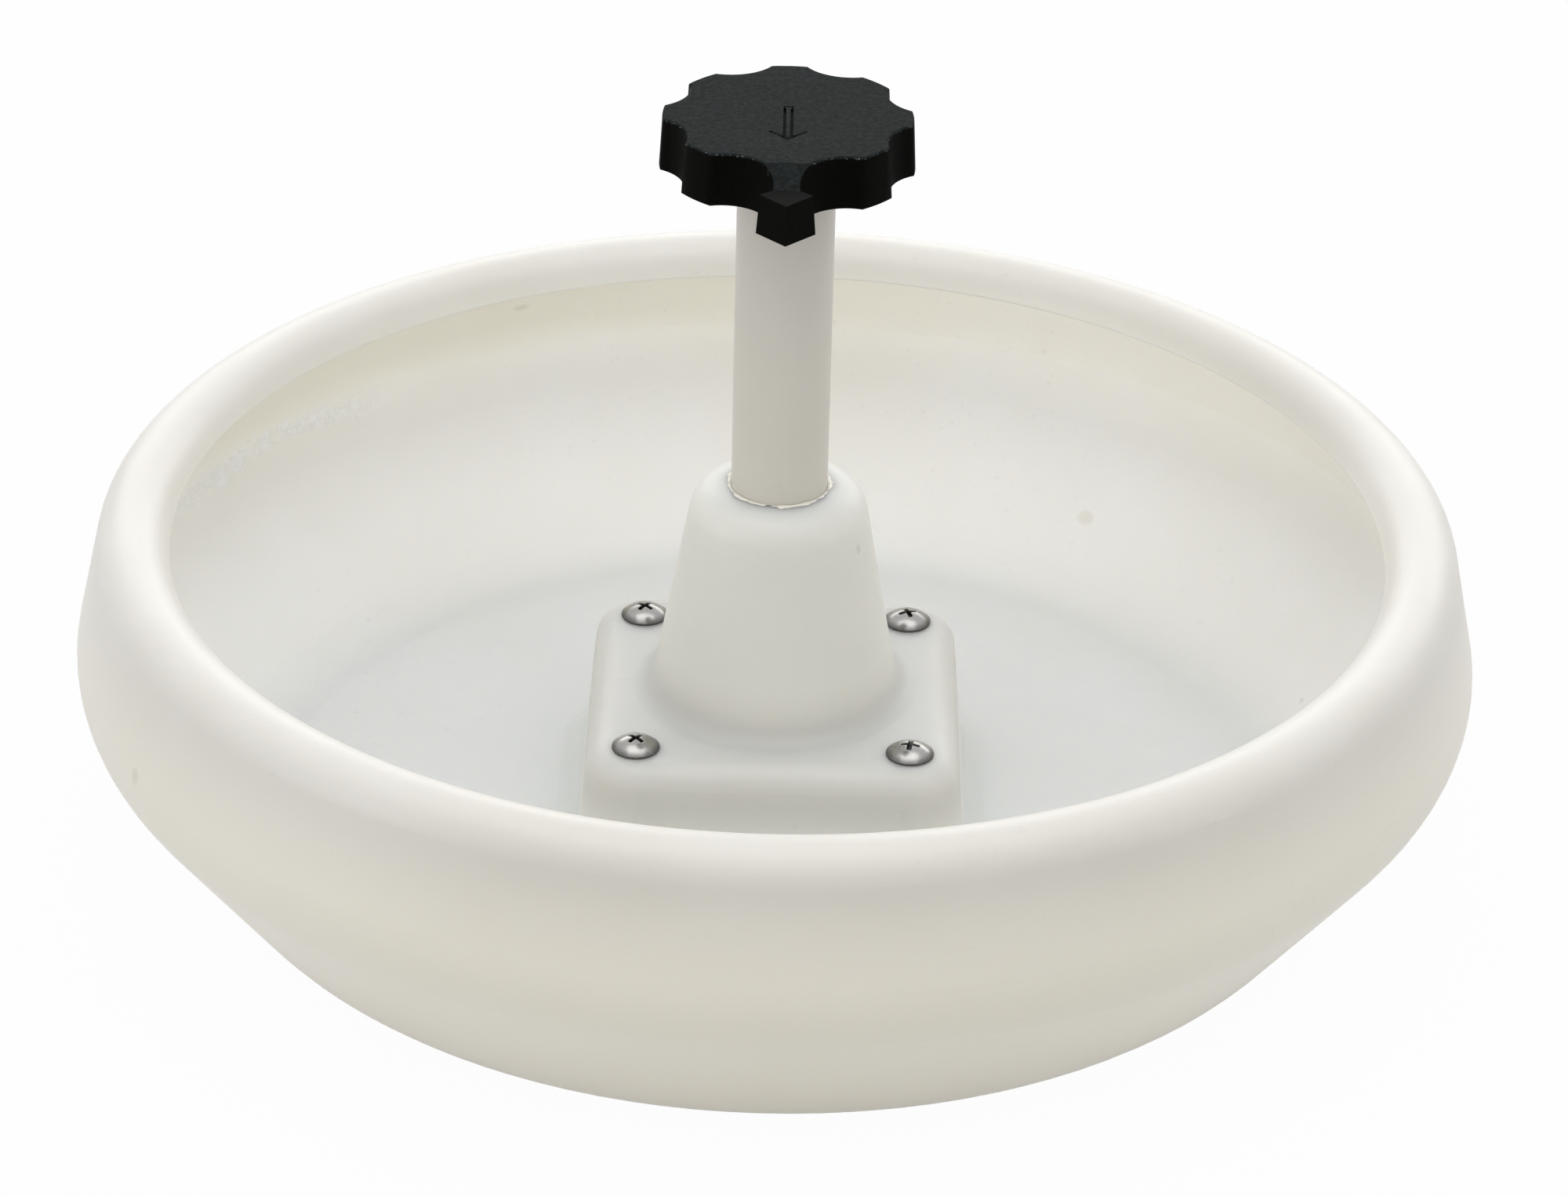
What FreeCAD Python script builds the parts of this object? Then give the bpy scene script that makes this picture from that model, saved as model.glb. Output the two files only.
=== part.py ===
"""Piglet feeder pan with a sprung hold-down latch, as a parametric FreeCAD document.

The pan is one moulded skin: a round trough with a rolled-in rim and, in its middle, a square
island that rises into a cone. A post slides and turns in the cone's neck. Its knob presses the
tee bar below the slats of a pen floor against a spring, and a quarter turn locks it there.

The origin is at the middle of the underside, +Z is up and the knob's pointer looks along -Y.
"""
import FreeCAD
import Part

import math
import os
from dataclasses import dataclass

import Sketcher

SIZES = {
    "pan_radius": 162.0,
    "pan_height": 84.6,
    "wall": 4.2,
    "base_inset": 44.0,
    "base_round": 20.0,
    "knee_height": 51.5,
    "knee_round": 20.0,
    "lip_reach": 22.0,
    "lip_round": 8.5,
    "lip_edge_round": 0.8,
    "island_height": 37.5,
    "island_side_run": 3.5,
    "island_corner": 12.0,
    "island_edge_round": 5.4,
    "island_foot_round": 6.0,
    "island_ceiling_round": 1.5,
    "cone_foot_radius": 29.0,
    "cone_head_radius": 19.5,
    "cone_height": 53.0,
    "cone_foot_round": 5.0,
    "cone_dome_round": 7.5,
    "screw_cone_gap": 5.0,
    "screw_edge_margin": 11.0,
    "screw_diameter": 4.8,
    "screw_head_diameter": 11.1,
    "screw_head_height": 2.8,
    "screw_end_spare": 0.8,
    "screw_hole_play": 0.25,
    "washer_diameter": 9.0,
    "washer_thickness": 1.0,
    "screw_nut_width": 8.0,
    "screw_nut_height": 5.0,
    "plate_edge_margin": 4.8,
    "plate_corner": 7.0,
    "plate_thickness": 3.0,
    "bush_diameter": 16.0,
    "bush_drop": 13.0,
    "bush_spigot_diameter": 12.0,
    "bush_spigot_rise": 2.6,
    "rod_diameter": 8.0,
    "running_play": 0.08,
    "seat_play": 0.05,
    "loose_play": 0.3,
    "spring_wire": 1.6,
    "spring_diameter": 20.5,
    "spring_turns": 5.0,
    "spring_seat_thickness": 1.2,
    "spring_seat_diameter": 28.0,
    "spring_seat_lip": 3.5,
    "thrust_washer_diameter": 24.0,
    "thrust_washer_bore": 16.6,
    "thrust_washer_thickness": 1.5,
    "tube_diameter": 22.2,
    "tube_wall": 2.0,
    "tube_length": 92.7,
    "tube_entry": 12.5,
    "plug_flange": 2.0,
    "plug_length": 12.0,
    "rod_nut_width": 13.0,
    "clamp_nut_height": 5.0,
    "tee_nut_height": 4.0,
    "tee_length": 60.0,
    "tee_width": 8.0,
    "tee_thickness": 8.0,
    "tee_end_round": 2.5,
    "rod_tail": 1.5,
    "rod_tail_diameter": 5.0,
    "rod_chamfer": 0.8,
    "knob_diameter": 56.0,
    "knob_height": 12.0,
    "knob_draft": 3.0,
    "knob_edge_round": 0.7,
    "scallop_radius": 11.0,
    "scallop_circle_radius": 35.9,
    "knob_core_radius": 3.4,
    "knob_core_circle_radius": 18.4,
    "knob_core_depth": 8.0,
    "knob_boss_length": 5.0,
    "pointer_neck_reach": 34.5,
    "pointer_neck_width": 12.0,
    "pointer_root_reach": 33.0,
    "pointer_root_width": 4.0,
    "pointer_barb_reach": 36.8,
    "pointer_barb_width": 13.0,
    "pointer_tip_reach": 43.4,
    "pointer_drop": 2.8,
    "pointer_slope_start": 26.0,
    "insert_width": 12.0,
    "insert_height": 9.0,
}
SCREW_COUNT = 4
LOBE_COUNT = 8
HEXAGON_SIDES = 6
WIRE_SIDES = 8
FULL_TURN = 360.0
TOLERANCE = 0.01


@dataclass(frozen=True)
class Size:
    """A length that knows its number and the sheet expression that drives it."""

    value: float
    text: str

    @staticmethod
    def of(other):
        """Return the size as it is, or a plain number as a size."""
        return other if isinstance(other, Size) else Size(float(other), repr(float(other)))

    def joined(self, other, sign, value):
        return Size(value, f"({self.text} {sign} {Size.of(other).text})")

    def __add__(self, other):
        return self.joined(other, "+", self.value + Size.of(other).value)

    def __sub__(self, other):
        return self.joined(other, "-", self.value - Size.of(other).value)

    def __mul__(self, other):
        return self.joined(other, "*", self.value * Size.of(other).value)

    def __truediv__(self, other):
        return self.joined(other, "/", self.value / Size.of(other).value)

    def __neg__(self):
        return Size(-self.value, f"(-1 * {self.text})")


class Sheet:
    """The driving dimensions, each read as an attribute that gives a Size."""

    def __init__(self, document, numbers):
        self.numbers = numbers
        cells = document.addObject("Spreadsheet::Sheet", "Sizes")
        for row, (alias, number) in enumerate(numbers.items(), start=1):
            cells.set(f"A{row}", alias)
            cells.set(f"B{row}", str(number))
            cells.setAlias(f"B{row}", alias)

    def __getattr__(self, alias):
        if alias not in self.numbers:
            raise AttributeError(alias)
        return Size(self.numbers[alias], f"Sizes.{alias}")


document = FreeCAD.newDocument("FeederPan")
sheet = Sheet(document, SIZES)
document.recompute()

ZERO = Size.of(0.0)
GROUND = ZERO
CEILING = sheet.island_height - sheet.wall
PLATE_UNDER = CEILING - sheet.plate_thickness
WASHER_UNDER = PLATE_UNDER - sheet.washer_thickness
SCREW_NUT_UNDER = WASHER_UNDER - sheet.screw_nut_height
BUSH_UNDER = PLATE_UNDER - sheet.bush_drop
TEE_NUT_TOP = BUSH_UNDER - sheet.loose_play
TEE_TOP = TEE_NUT_TOP - sheet.tee_nut_height
TEE_UNDER = TEE_TOP - sheet.tee_thickness
ROD_UNDER = TEE_UNDER - sheet.rod_tail
NECK_TOP = sheet.island_height + sheet.cone_height
TUBE_UNDER = NECK_TOP - sheet.tube_entry
PLUG_UNDER = TUBE_UNDER - sheet.plug_flange
THRUST_UNDER = PLUG_UNDER - sheet.thrust_washer_thickness
SPRING_UNDER = CEILING + sheet.spring_seat_thickness
SPRING_LENGTH = THRUST_UNDER - SPRING_UNDER
KNOB_UNDER = TUBE_UNDER + sheet.tube_length
INSERT_UNDER = KNOB_UNDER - sheet.knob_boss_length
TUBE_BORE_RADIUS = sheet.tube_diameter / 2 - sheet.tube_wall
ROD_RADIUS = sheet.rod_diameter / 2
BASE_RADIUS = sheet.pan_radius - sheet.base_inset
OPENING_RADIUS = sheet.pan_radius - sheet.lip_reach
CONE_REACH = sheet.cone_foot_radius + sheet.cone_foot_round
SCREW_PLACE = (CONE_REACH + sheet.screw_cone_gap + sheet.screw_head_diameter / 2) / math.sqrt(2)
ISLAND_TOP_HALF = SCREW_PLACE + sheet.screw_edge_margin
ISLAND_FOOT_HALF = ISLAND_TOP_HALF + sheet.island_side_run


def bind(thing, name, size):
    """Drive a property or a named constraint by a sheet expression."""
    thing.setExpression(name, size.text)


class Outline:
    """A sketch whose points are placed by sizes, on an origin plane of its own body."""

    def __init__(self, body, name, plane="XY_Plane", height=None):
        self.sketch = body.newObject("Sketcher::SketchObject", name)
        support = next(item for item in body.Origin.OriginFeatures if item.Role == plane)
        self.sketch.AttachmentSupport = (support, [""])
        self.sketch.MapMode = "FlatFace"
        if height is not None:
            self.sketch.AttachmentOffset = FreeCAD.Placement(
                FreeCAD.Vector(0, 0, height.value), FreeCAD.Rotation())
            bind(self.sketch, "AttachmentOffset.Base.z", height)
        self.bound = []

    def tie(self, kind, *where):
        self.sketch.addConstraint(Sketcher.Constraint(kind, *where))

    def measure(self, kind, where, size):
        """Add a dimension that the sheet drives."""
        index = self.sketch.addConstraint(Sketcher.Constraint(kind, *where, size.value))
        label = f"{kind}{index}"
        self.sketch.renameConstraint(index, label)
        self.bound.append((label, size))

    def pin(self, geometry, point, across, along):
        """Hold a point at its coordinates, or on an axis where a coordinate is zero."""
        for kind, axis, size in (("DistanceX", -2, across), ("DistanceY", -1, along)):
            if abs(size.value) < TOLERANCE:
                self.tie("PointOnObject", geometry, point, axis)
            else:
                self.measure(kind, (geometry, point), size)

    def line(self, start, end):
        return self.sketch.addGeometry(Part.LineSegment(vector(*start), vector(*end)), False)

    def arc(self, centre, radius, first, last):
        circle = Part.Circle(vector(*centre), FreeCAD.Vector(0, 0, 1), radius)
        return self.sketch.addGeometry(
            Part.ArcOfCircle(circle, math.radians(first), math.radians(last)), False)

    def circle(self, across, along, radius):
        """Draw a circle that is held at its centre and by its radius."""
        round_edge = Part.Circle(
            vector(across.value, along.value), FreeCAD.Vector(0, 0, 1), radius.value)
        geometry = self.sketch.addGeometry(round_edge, False)
        self.pin(geometry, 3, across, along)
        self.measure("Radius", (geometry,), radius)

    def polygon(self, corners):
        """Draw a closed outline through corners given as pairs of sizes."""
        numbers = [(across.value, along.value) for across, along in corners]
        edges = [self.line(start, end) for start, end in zip(numbers, numbers[1:] + numbers[:1])]
        for edge, following in zip(edges, edges[1:] + edges[:1]):
            self.tie("Coincident", edge, 2, following, 1)
        for edge, (across, along) in zip(edges, corners):
            self.pin(edge, 1, across, along)

    def rounded_square(self, half_width, corner):
        """Draw a square with round corners about the origin."""
        inset = half_width - corner
        signs = ((1, 1), (-1, 1), (-1, -1), (1, -1))
        arcs = []
        for quarter, (across, along) in enumerate(signs):
            centre = (across * inset.value, along * inset.value)
            arcs.append(self.arc(centre, corner.value, 90 * quarter, 90 * quarter + 90))
        for arc, (across, along) in zip(arcs, signs):
            self.pin(arc, 3, inset * across, inset * along)
            self.measure("Radius", (arc,), corner)
        for arc, following in zip(arcs, arcs[1:] + arcs[:1]):
            start = self.sketch.getPoint(arc, 2)
            end = self.sketch.getPoint(following, 1)
            side = self.line((start.x, start.y), (end.x, end.y))
            self.tie("Tangent", arc, 2, side, 1)
            self.tie("Tangent", side, 2, following, 1)

    def hexagon(self, width):
        """Draw a hexagon about the origin, measured across its flats."""
        half = width / 2
        point = width / math.sqrt(3)
        side = point / 2
        self.polygon([
            (point, ZERO), (side, half), (-side, half), (-point, ZERO), (-side, -half), (side, -half),
        ])

    def close(self):
        """Bind the dimensions once the outline is complete and give the sketch back."""
        for label, size in self.bound:
            bind(self.sketch, f"Constraints.{label}", size)
        return self.sketch


def vector(across, along):
    return FreeCAD.Vector(across, along, 0)


def new_body(label, height=ZERO, across=ZERO, along=ZERO):
    """Start a sub-part and place it by sizes."""
    body = document.addObject("PartDesign::Body", label)
    body.Label = label
    body.Placement = FreeCAD.Placement(
        FreeCAD.Vector(across.value, along.value, height.value), FreeCAD.Rotation())
    for axis, size in (("x", across), ("y", along), ("z", height)):
        bind(body, f"Placement.Base.{axis}", size)
    return body


def finish(body):
    """Recompute and check the sub-part's last feature."""
    document.recompute()
    return body


def revolve(body, outline, name, kind="PartDesign::Revolution"):
    """Turn an outline in the XZ plane about the upright axis, as material or as a cut."""
    sketch = outline.close()
    feature = body.newObject(kind, name)
    feature.Profile = sketch
    feature.ReferenceAxis = (sketch, ["V_Axis"])
    feature.Angle = FULL_TURN
    sketch.Visibility = False
    return feature


def pad(body, outline, name, length, taper=None):
    """Raise an outline upwards."""
    sketch = outline.close()
    feature = body.newObject("PartDesign::Pad", name)
    feature.Profile = sketch
    feature.Length = length.value
    bind(feature, "Length", length)
    if taper is not None:
        feature.TaperAngle = taper.value
        bind(feature, "TaperAngle", taper)
    sketch.Visibility = False
    return feature


def pocket(body, outline, name, depth=None, upwards=False, taper=None, both_ways=False):
    """Sink an outline into the body, all the way through where no depth is given."""
    sketch = outline.close()
    feature = body.newObject("PartDesign::Pocket", name)
    feature.Profile = sketch
    if depth is None:
        feature.Type = 1
    else:
        feature.Length = depth.value
        bind(feature, "Length", depth)
    feature.Midplane = both_ways
    feature.Reversed = upwards
    if taper is not None:
        feature.TaperAngle = taper.value
        bind(feature, "TaperAngle", taper)
    sketch.Visibility = False
    return feature


def loft(body, first, last, name, kind):
    """Join two outlines by straight walls, as material or as a cut."""
    sketches = [first.close(), last.close()]
    feature = body.newObject(kind, name)
    feature.Profile = sketches[0]
    feature.Sections = sketches[1:]
    feature.Ruled = True
    for sketch in sketches:
        sketch.Visibility = False
    return feature


def around(body, feature, count):
    """Repeat a feature about the upright axis."""
    pattern = body.newObject("PartDesign::PolarPattern", f"{feature.Name}Around")
    pattern.Originals = [feature]
    upright = next(item for item in body.Origin.OriginFeatures if item.Role == "Z_Axis")
    pattern.Axis = (upright, [""])
    pattern.Angle = FULL_TURN
    pattern.Occurrences = count
    body.Tip = pattern
    return pattern


def edges_where(feature, test):
    """Name the edges of a feature whose shape passes a test."""
    return [f"Edge{index}" for index, edge in enumerate(feature.Shape.Edges, start=1) if test(edge)]


def level_edge(height, inside, outside):
    """Test for an edge that lies level at a height, between two distances from the axis."""
    def test(edge):
        box = edge.BoundBox
        middle = edge.valueAt((edge.FirstParameter + edge.LastParameter) / 2)
        reach = math.hypot(middle.x, middle.y)
        flat = box.ZLength < TOLERANCE and abs(box.ZMin - height.value) < TOLERANCE
        return flat and inside.value < reach < outside.value
    return test


def soften(body, name, radius, test, kind="PartDesign::Fillet"):
    """Round or chamfer the edges of the body's tip that pass a test."""
    document.recompute()
    base = body.Tip
    names = edges_where(base, test)
    if not names:
        raise ValueError(f"{name} found no edge")
    feature = body.newObject(kind, name)
    feature.Base = (base, names)
    size_name = "Radius" if kind.endswith("Fillet") else "Size"
    setattr(feature, size_name, radius.value)
    bind(feature, size_name, radius)
    return feature


def tangent_angle(first, first_radius, second, second_radius):
    """Give the direction, in degrees, of the outer line that touches two circles."""
    run = second[0] - first[0]
    rise = second[1] - first[1]
    lean = math.asin((second_radius - first_radius) / math.hypot(run, rise))
    return math.degrees(math.atan2(rise, run) - lean)


def trough_outline(body):
    """Draw the skin of the trough: three concentric pairs of arcs joined by tangent lines.

    From the axis it runs along the floor, round the base, up the flared wall, round the knee,
    in along the upper wall and over the rolled rim, then back inside one wall thickness away.
    """
    outline = Outline(body, "TroughOutline", "XZ_Plane")
    wall = sheet.wall
    centres = (
        (BASE_RADIUS, sheet.base_round),
        (sheet.pan_radius - sheet.knee_round, sheet.knee_height),
        (OPENING_RADIUS + sheet.lip_round, sheet.pan_height - sheet.lip_round),
    )
    radii = (sheet.base_round, sheet.knee_round, sheet.lip_round)
    spots = [(across.value, along.value) for across, along in centres]
    flare = tangent_angle(spots[0], radii[0].value, spots[1], radii[1].value)
    lean = tangent_angle(spots[1], radii[1].value, spots[2], radii[2].value)
    bounds = (-90.0, flare - 90.0, lean - 90.0, 180.0)
    skins = []
    for offset in (ZERO, wall):
        arcs = []
        for index, (spot, radius) in enumerate(zip(spots, radii)):
            arcs.append(outline.arc(spot, radius.value - offset.value, *bounds[index:index + 2]))
            outline.measure("Radius", (arcs[-1],), radius - offset)
        for arc, following in zip(arcs, arcs[1:]):
            start = outline.sketch.getPoint(arc, 2)
            end = outline.sketch.getPoint(following, 1)
            side = outline.line((start.x, start.y), (end.x, end.y))
            outline.tie("Tangent", arc, 2, side, 1)
            outline.tie("Tangent", side, 2, following, 1)
        floor = outline.line((0, offset.value), (spots[0][0], offset.value))
        outline.tie("Tangent", floor, 2, arcs[0], 1)
        outline.tie("PointOnObject", floor, 1, -2)
        outline.tie("Horizontal", floor)
        skins.append((floor, arcs))
    (outer_floor, outer_arcs), (inner_floor, inner_arcs) = skins
    for outer, inner in zip(outer_arcs, inner_arcs):
        outline.tie("Coincident", outer, 3, inner, 3)
    for arc, (across, along) in zip(outer_arcs[1:], centres[1:]):
        outline.pin(arc, 3, across, along)
    outline.measure("DistanceX", (outer_arcs[0], 3), centres[0][0])
    outline.tie("PointOnObject", outer_floor, 1, -1)
    middle = outline.line((0, wall.value), (0, 0))
    outline.tie("Coincident", middle, 1, inner_floor, 1)
    outline.tie("Coincident", middle, 2, outer_floor, 1)
    lip = (outer_arcs[-1], inner_arcs[-1])
    ends = [outline.sketch.getPoint(arc, 2) for arc in lip]
    lip_end = outline.line((ends[0].x, ends[0].y), (ends[1].x, ends[1].y))
    for point, arc in enumerate(lip, start=1):
        outline.tie("Coincident", lip_end, point, arc, 2)
        outline.tie("Horizontal", arc, 2, arc, 3)
    return outline


def make_feed_pan():
    """Mould the trough, its island and the hollow cone in one skin."""
    body = new_body("feed_pan")
    wall = sheet.wall
    revolve(body, trough_outline(body), "Trough")
    lip_height = sheet.pan_height - sheet.lip_round
    soften(body, "LipEdges", sheet.lip_edge_round,
           level_edge(lip_height, OPENING_RADIUS - wall, OPENING_RADIUS + wall * 2))

    foot = Outline(body, "IslandFoot")
    foot.rounded_square(ISLAND_FOOT_HALF, sheet.island_corner)
    top = Outline(body, "IslandTop", height=sheet.island_height)
    top.rounded_square(ISLAND_TOP_HALF, sheet.island_corner)
    loft(body, foot, top, "Island", "PartDesign::AdditiveLoft")
    soften(body, "IslandTopEdges", sheet.island_edge_round,
           level_edge(sheet.island_height, ZERO, ISLAND_FOOT_HALF * 2))
    soften(body, "IslandFootEdges", sheet.island_foot_round,
           level_edge(wall, ZERO, ISLAND_FOOT_HALF * 2))

    cone = Outline(body, "ConeOutline", "XZ_Plane")
    cone.polygon([
        (ZERO, CEILING),
        (sheet.cone_foot_radius, CEILING),
        (sheet.cone_foot_radius, sheet.island_height),
        (sheet.cone_head_radius, NECK_TOP),
        (ZERO, NECK_TOP),
    ])
    revolve(body, cone, "Cone")
    soften(body, "ConeDome", sheet.cone_dome_round,
           level_edge(NECK_TOP, ZERO, sheet.cone_foot_radius))
    soften(body, "ConeFoot", sheet.cone_foot_round,
           level_edge(sheet.island_height, ZERO, sheet.cone_foot_radius + wall))

    mouth = Outline(body, "RecessMouth")
    mouth.rounded_square(ISLAND_FOOT_HALF - wall, sheet.island_corner - wall)
    ceiling = Outline(body, "RecessCeiling", height=CEILING)
    ceiling.rounded_square(ISLAND_TOP_HALF - wall, sheet.island_corner - wall)
    loft(body, mouth, ceiling, "Recess", "PartDesign::SubtractiveLoft")
    soften(body, "RecessCeilingEdges", sheet.island_ceiling_round,
           level_edge(CEILING, ZERO, ISLAND_FOOT_HALF * 2))
    soften(body, "RecessMouthEdges", sheet.island_foot_round,
           level_edge(GROUND, ZERO, ISLAND_FOOT_HALF * 2))

    hollow = Outline(body, "HollowOutline", "XZ_Plane")
    hollow.polygon([
        (ZERO, PLATE_UNDER),
        (sheet.cone_foot_radius - wall, PLATE_UNDER),
        (sheet.cone_foot_radius - wall, CEILING),
        (sheet.cone_head_radius - wall, NECK_TOP - wall),
        (ZERO, NECK_TOP - wall),
    ])
    revolve(body, hollow, "Hollow", "PartDesign::Groove")
    soften(body, "HollowDome", sheet.cone_dome_round - wall,
           level_edge(NECK_TOP - wall, ZERO, sheet.cone_head_radius))

    neck = Outline(body, "NeckBore", height=NECK_TOP)
    neck.circle(ZERO, ZERO, sheet.tube_diameter / 2 + sheet.loose_play)
    pocket(body, neck, "Neck", wall * 2)
    hole = Outline(body, "ScrewHole", height=sheet.island_height)
    hole.circle(SCREW_PLACE, SCREW_PLACE, sheet.screw_diameter / 2 + sheet.screw_hole_play)
    around(body, pocket(body, hole, "ScrewHoles", wall * 2), SCREW_COUNT)
    return finish(body)


def make_mount_plate():
    """Cut the steel plate that the four screws clamp under the island."""
    body = new_body("mount_plate", PLATE_UNDER)
    blank = Outline(body, "Blank")
    blank.rounded_square(SCREW_PLACE + sheet.plate_edge_margin, sheet.plate_corner)
    pad(body, blank, "Plate", sheet.plate_thickness)
    centre = Outline(body, "BushHole", height=sheet.plate_thickness)
    centre.circle(ZERO, ZERO, sheet.bush_spigot_diameter / 2 + sheet.seat_play)
    pocket(body, centre, "BushSeat")
    hole = Outline(body, "ScrewHole", height=sheet.plate_thickness)
    hole.circle(SCREW_PLACE, SCREW_PLACE, sheet.screw_diameter / 2 + sheet.screw_hole_play)
    around(body, pocket(body, hole, "ScrewHoles"), SCREW_COUNT)
    return finish(body)


def make_stepped_ring(label, height, bore_radius, steps):
    """Turn a ring whose outside steps through (radius, top height) pairs from the bottom up."""
    body = new_body(label, height)
    corners = [(bore_radius, ZERO)]
    level = ZERO
    for radius, top in steps:
        corners.extend([(radius, level), (radius, top)])
        level = top
    corners.append((bore_radius, level))
    outline = Outline(body, "Section", "XZ_Plane")
    outline.polygon(corners)
    revolve(body, outline, "Ring")
    return finish(body)


def make_guide_bush():
    """Turn the bush that guides the rod and stops the latch at the top of its travel."""
    spigot_top = sheet.bush_drop + sheet.plate_thickness + sheet.bush_spigot_rise
    return make_stepped_ring("guide_bush", BUSH_UNDER, ROD_RADIUS + sheet.running_play, [
        (sheet.bush_diameter / 2, sheet.bush_drop),
        (sheet.bush_spigot_diameter / 2, spigot_top),
    ])


def make_spring_seat():
    """Press the cup that centres the lower end of the spring."""
    body = new_body("spring_seat", CEILING)
    bore = sheet.bush_spigot_diameter / 2 + sheet.seat_play
    outside = sheet.spring_seat_diameter / 2
    inside = outside - sheet.spring_seat_thickness
    outline = Outline(body, "Section", "XZ_Plane")
    outline.polygon([
        (bore, ZERO),
        (outside, ZERO),
        (outside, sheet.spring_seat_lip),
        (inside, sheet.spring_seat_lip),
        (inside, sheet.spring_seat_thickness),
        (bore, sheet.spring_seat_thickness),
    ])
    revolve(body, outline, "Cup")
    return finish(body)


def make_latch_spring():
    """Sweep the wire, as an octagon, along a helix whose ends stand on the two seats."""
    rise = SPRING_LENGTH - sheet.spring_wire
    coil = document.addObject("Part::Helix", "SpringCoil")
    bind(coil, "Pitch", rise / sheet.spring_turns)
    bind(coil, "Height", rise)
    bind(coil, "Radius", sheet.spring_diameter / 2)
    section = document.addObject("Part::RegularPolygon", "SpringSection")
    section.Polygon = WIRE_SIDES
    bind(section, "Circumradius", sheet.spring_wire / 2)
    section.Placement.Rotation = FreeCAD.Rotation(FreeCAD.Vector(1, 0, 0), 90)
    bind(section, "Placement.Base.x", sheet.spring_diameter / 2)
    document.recompute()
    spring = document.addObject("Part::Sweep", "latch_spring")
    spring.Label = "latch_spring"
    spring.Sections = [section]
    spring.Spine = (coil, ["Edge1"])
    spring.Solid = True
    spring.Frenet = True
    bind(spring, "Placement.Base.z", SPRING_UNDER + sheet.spring_wire / 2)
    return finish(spring)


def make_thrust_washer():
    """Turn the washer that the spring pushes against the foot of the post."""
    return make_stepped_ring("thrust_washer", THRUST_UNDER, sheet.thrust_washer_bore / 2, [
        (sheet.thrust_washer_diameter / 2, sheet.thrust_washer_thickness),
    ])


def make_hexagon_nut(label, width, height, bore_radius, under, across=ZERO, along=ZERO):
    """Make a hexagon nut with its corners rounded off by a cone at both ends."""
    body = new_body(label, under, across, along)
    blank = Outline(body, "Blank")
    blank.hexagon(width)
    pad(body, blank, "Nut", height)
    bore = Outline(body, "BoreOutline", height=height)
    bore.circle(ZERO, ZERO, bore_radius)
    pocket(body, bore, "Bore")
    chamfer = (width / math.sqrt(3) - width / 2) * math.cos(math.pi / HEXAGON_SIDES)
    corner = width / math.sqrt(3)
    collar = Outline(body, "CornerRelief", "XZ_Plane")
    collar.polygon([
        (corner - chamfer, height),
        (corner + chamfer, height - chamfer),
        (corner + chamfer, height),
    ])
    revolve(body, collar, "Corners", "PartDesign::Groove")
    return finish(body)


def make_post_tube():
    """Cut the plastic pipe that joins the knob to the spring."""
    return make_stepped_ring("post_tube", TUBE_UNDER, TUBE_BORE_RADIUS, [
        (sheet.tube_diameter / 2, sheet.tube_length),
    ])


def make_tube_plug():
    """Turn the flanged plug that closes the foot of the pipe round the rod."""
    return make_stepped_ring("tube_plug", PLUG_UNDER, ROD_RADIUS + sheet.seat_play, [
        (sheet.tube_diameter / 2, sheet.plug_flange),
        (TUBE_BORE_RADIUS - sheet.seat_play, sheet.plug_flange + sheet.plug_length),
    ])


def make_latch_rod():
    """Turn the rod that runs from the tee bar up into the knob, stepped down to pass the bar."""
    body = new_body("latch_rod", ROD_UNDER)
    length = INSERT_UNDER + sheet.insert_height - ROD_UNDER
    shoulder = TEE_TOP - ROD_UNDER
    tail_radius = sheet.rod_tail_diameter / 2
    outline = Outline(body, "Section", "XZ_Plane")
    outline.polygon([
        (ZERO, ZERO),
        (tail_radius, ZERO),
        (tail_radius, shoulder),
        (ROD_RADIUS, shoulder),
        (ROD_RADIUS, length),
        (ZERO, length),
    ])
    revolve(body, outline, "Rod")
    soften(body, "RodTop", sheet.rod_chamfer, level_edge(length, ZERO, sheet.rod_diameter),
           "PartDesign::Chamfer")
    return finish(body)


def make_tee_bar():
    """Saw the bar that catches below the slats, drilled for the rod."""
    body = new_body("tee_bar", TEE_UNDER)
    half_width = sheet.tee_width / 2
    half_length = sheet.tee_length / 2
    blank = Outline(body, "Blank")
    blank.polygon([
        (-half_width, -half_length), (half_width, -half_length),
        (half_width, half_length), (-half_width, half_length),
    ])
    pad(body, blank, "Bar", sheet.tee_thickness)
    soften(body, "BarEnds", sheet.tee_end_round,
           lambda edge: edge.BoundBox.ZLength > sheet.tee_thickness.value / 2)
    bore = Outline(body, "BoreOutline", height=sheet.tee_thickness)
    bore.circle(ZERO, ZERO, sheet.rod_tail_diameter / 2 + sheet.seat_play)
    pocket(body, bore, "Bore")
    return finish(body)


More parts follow.
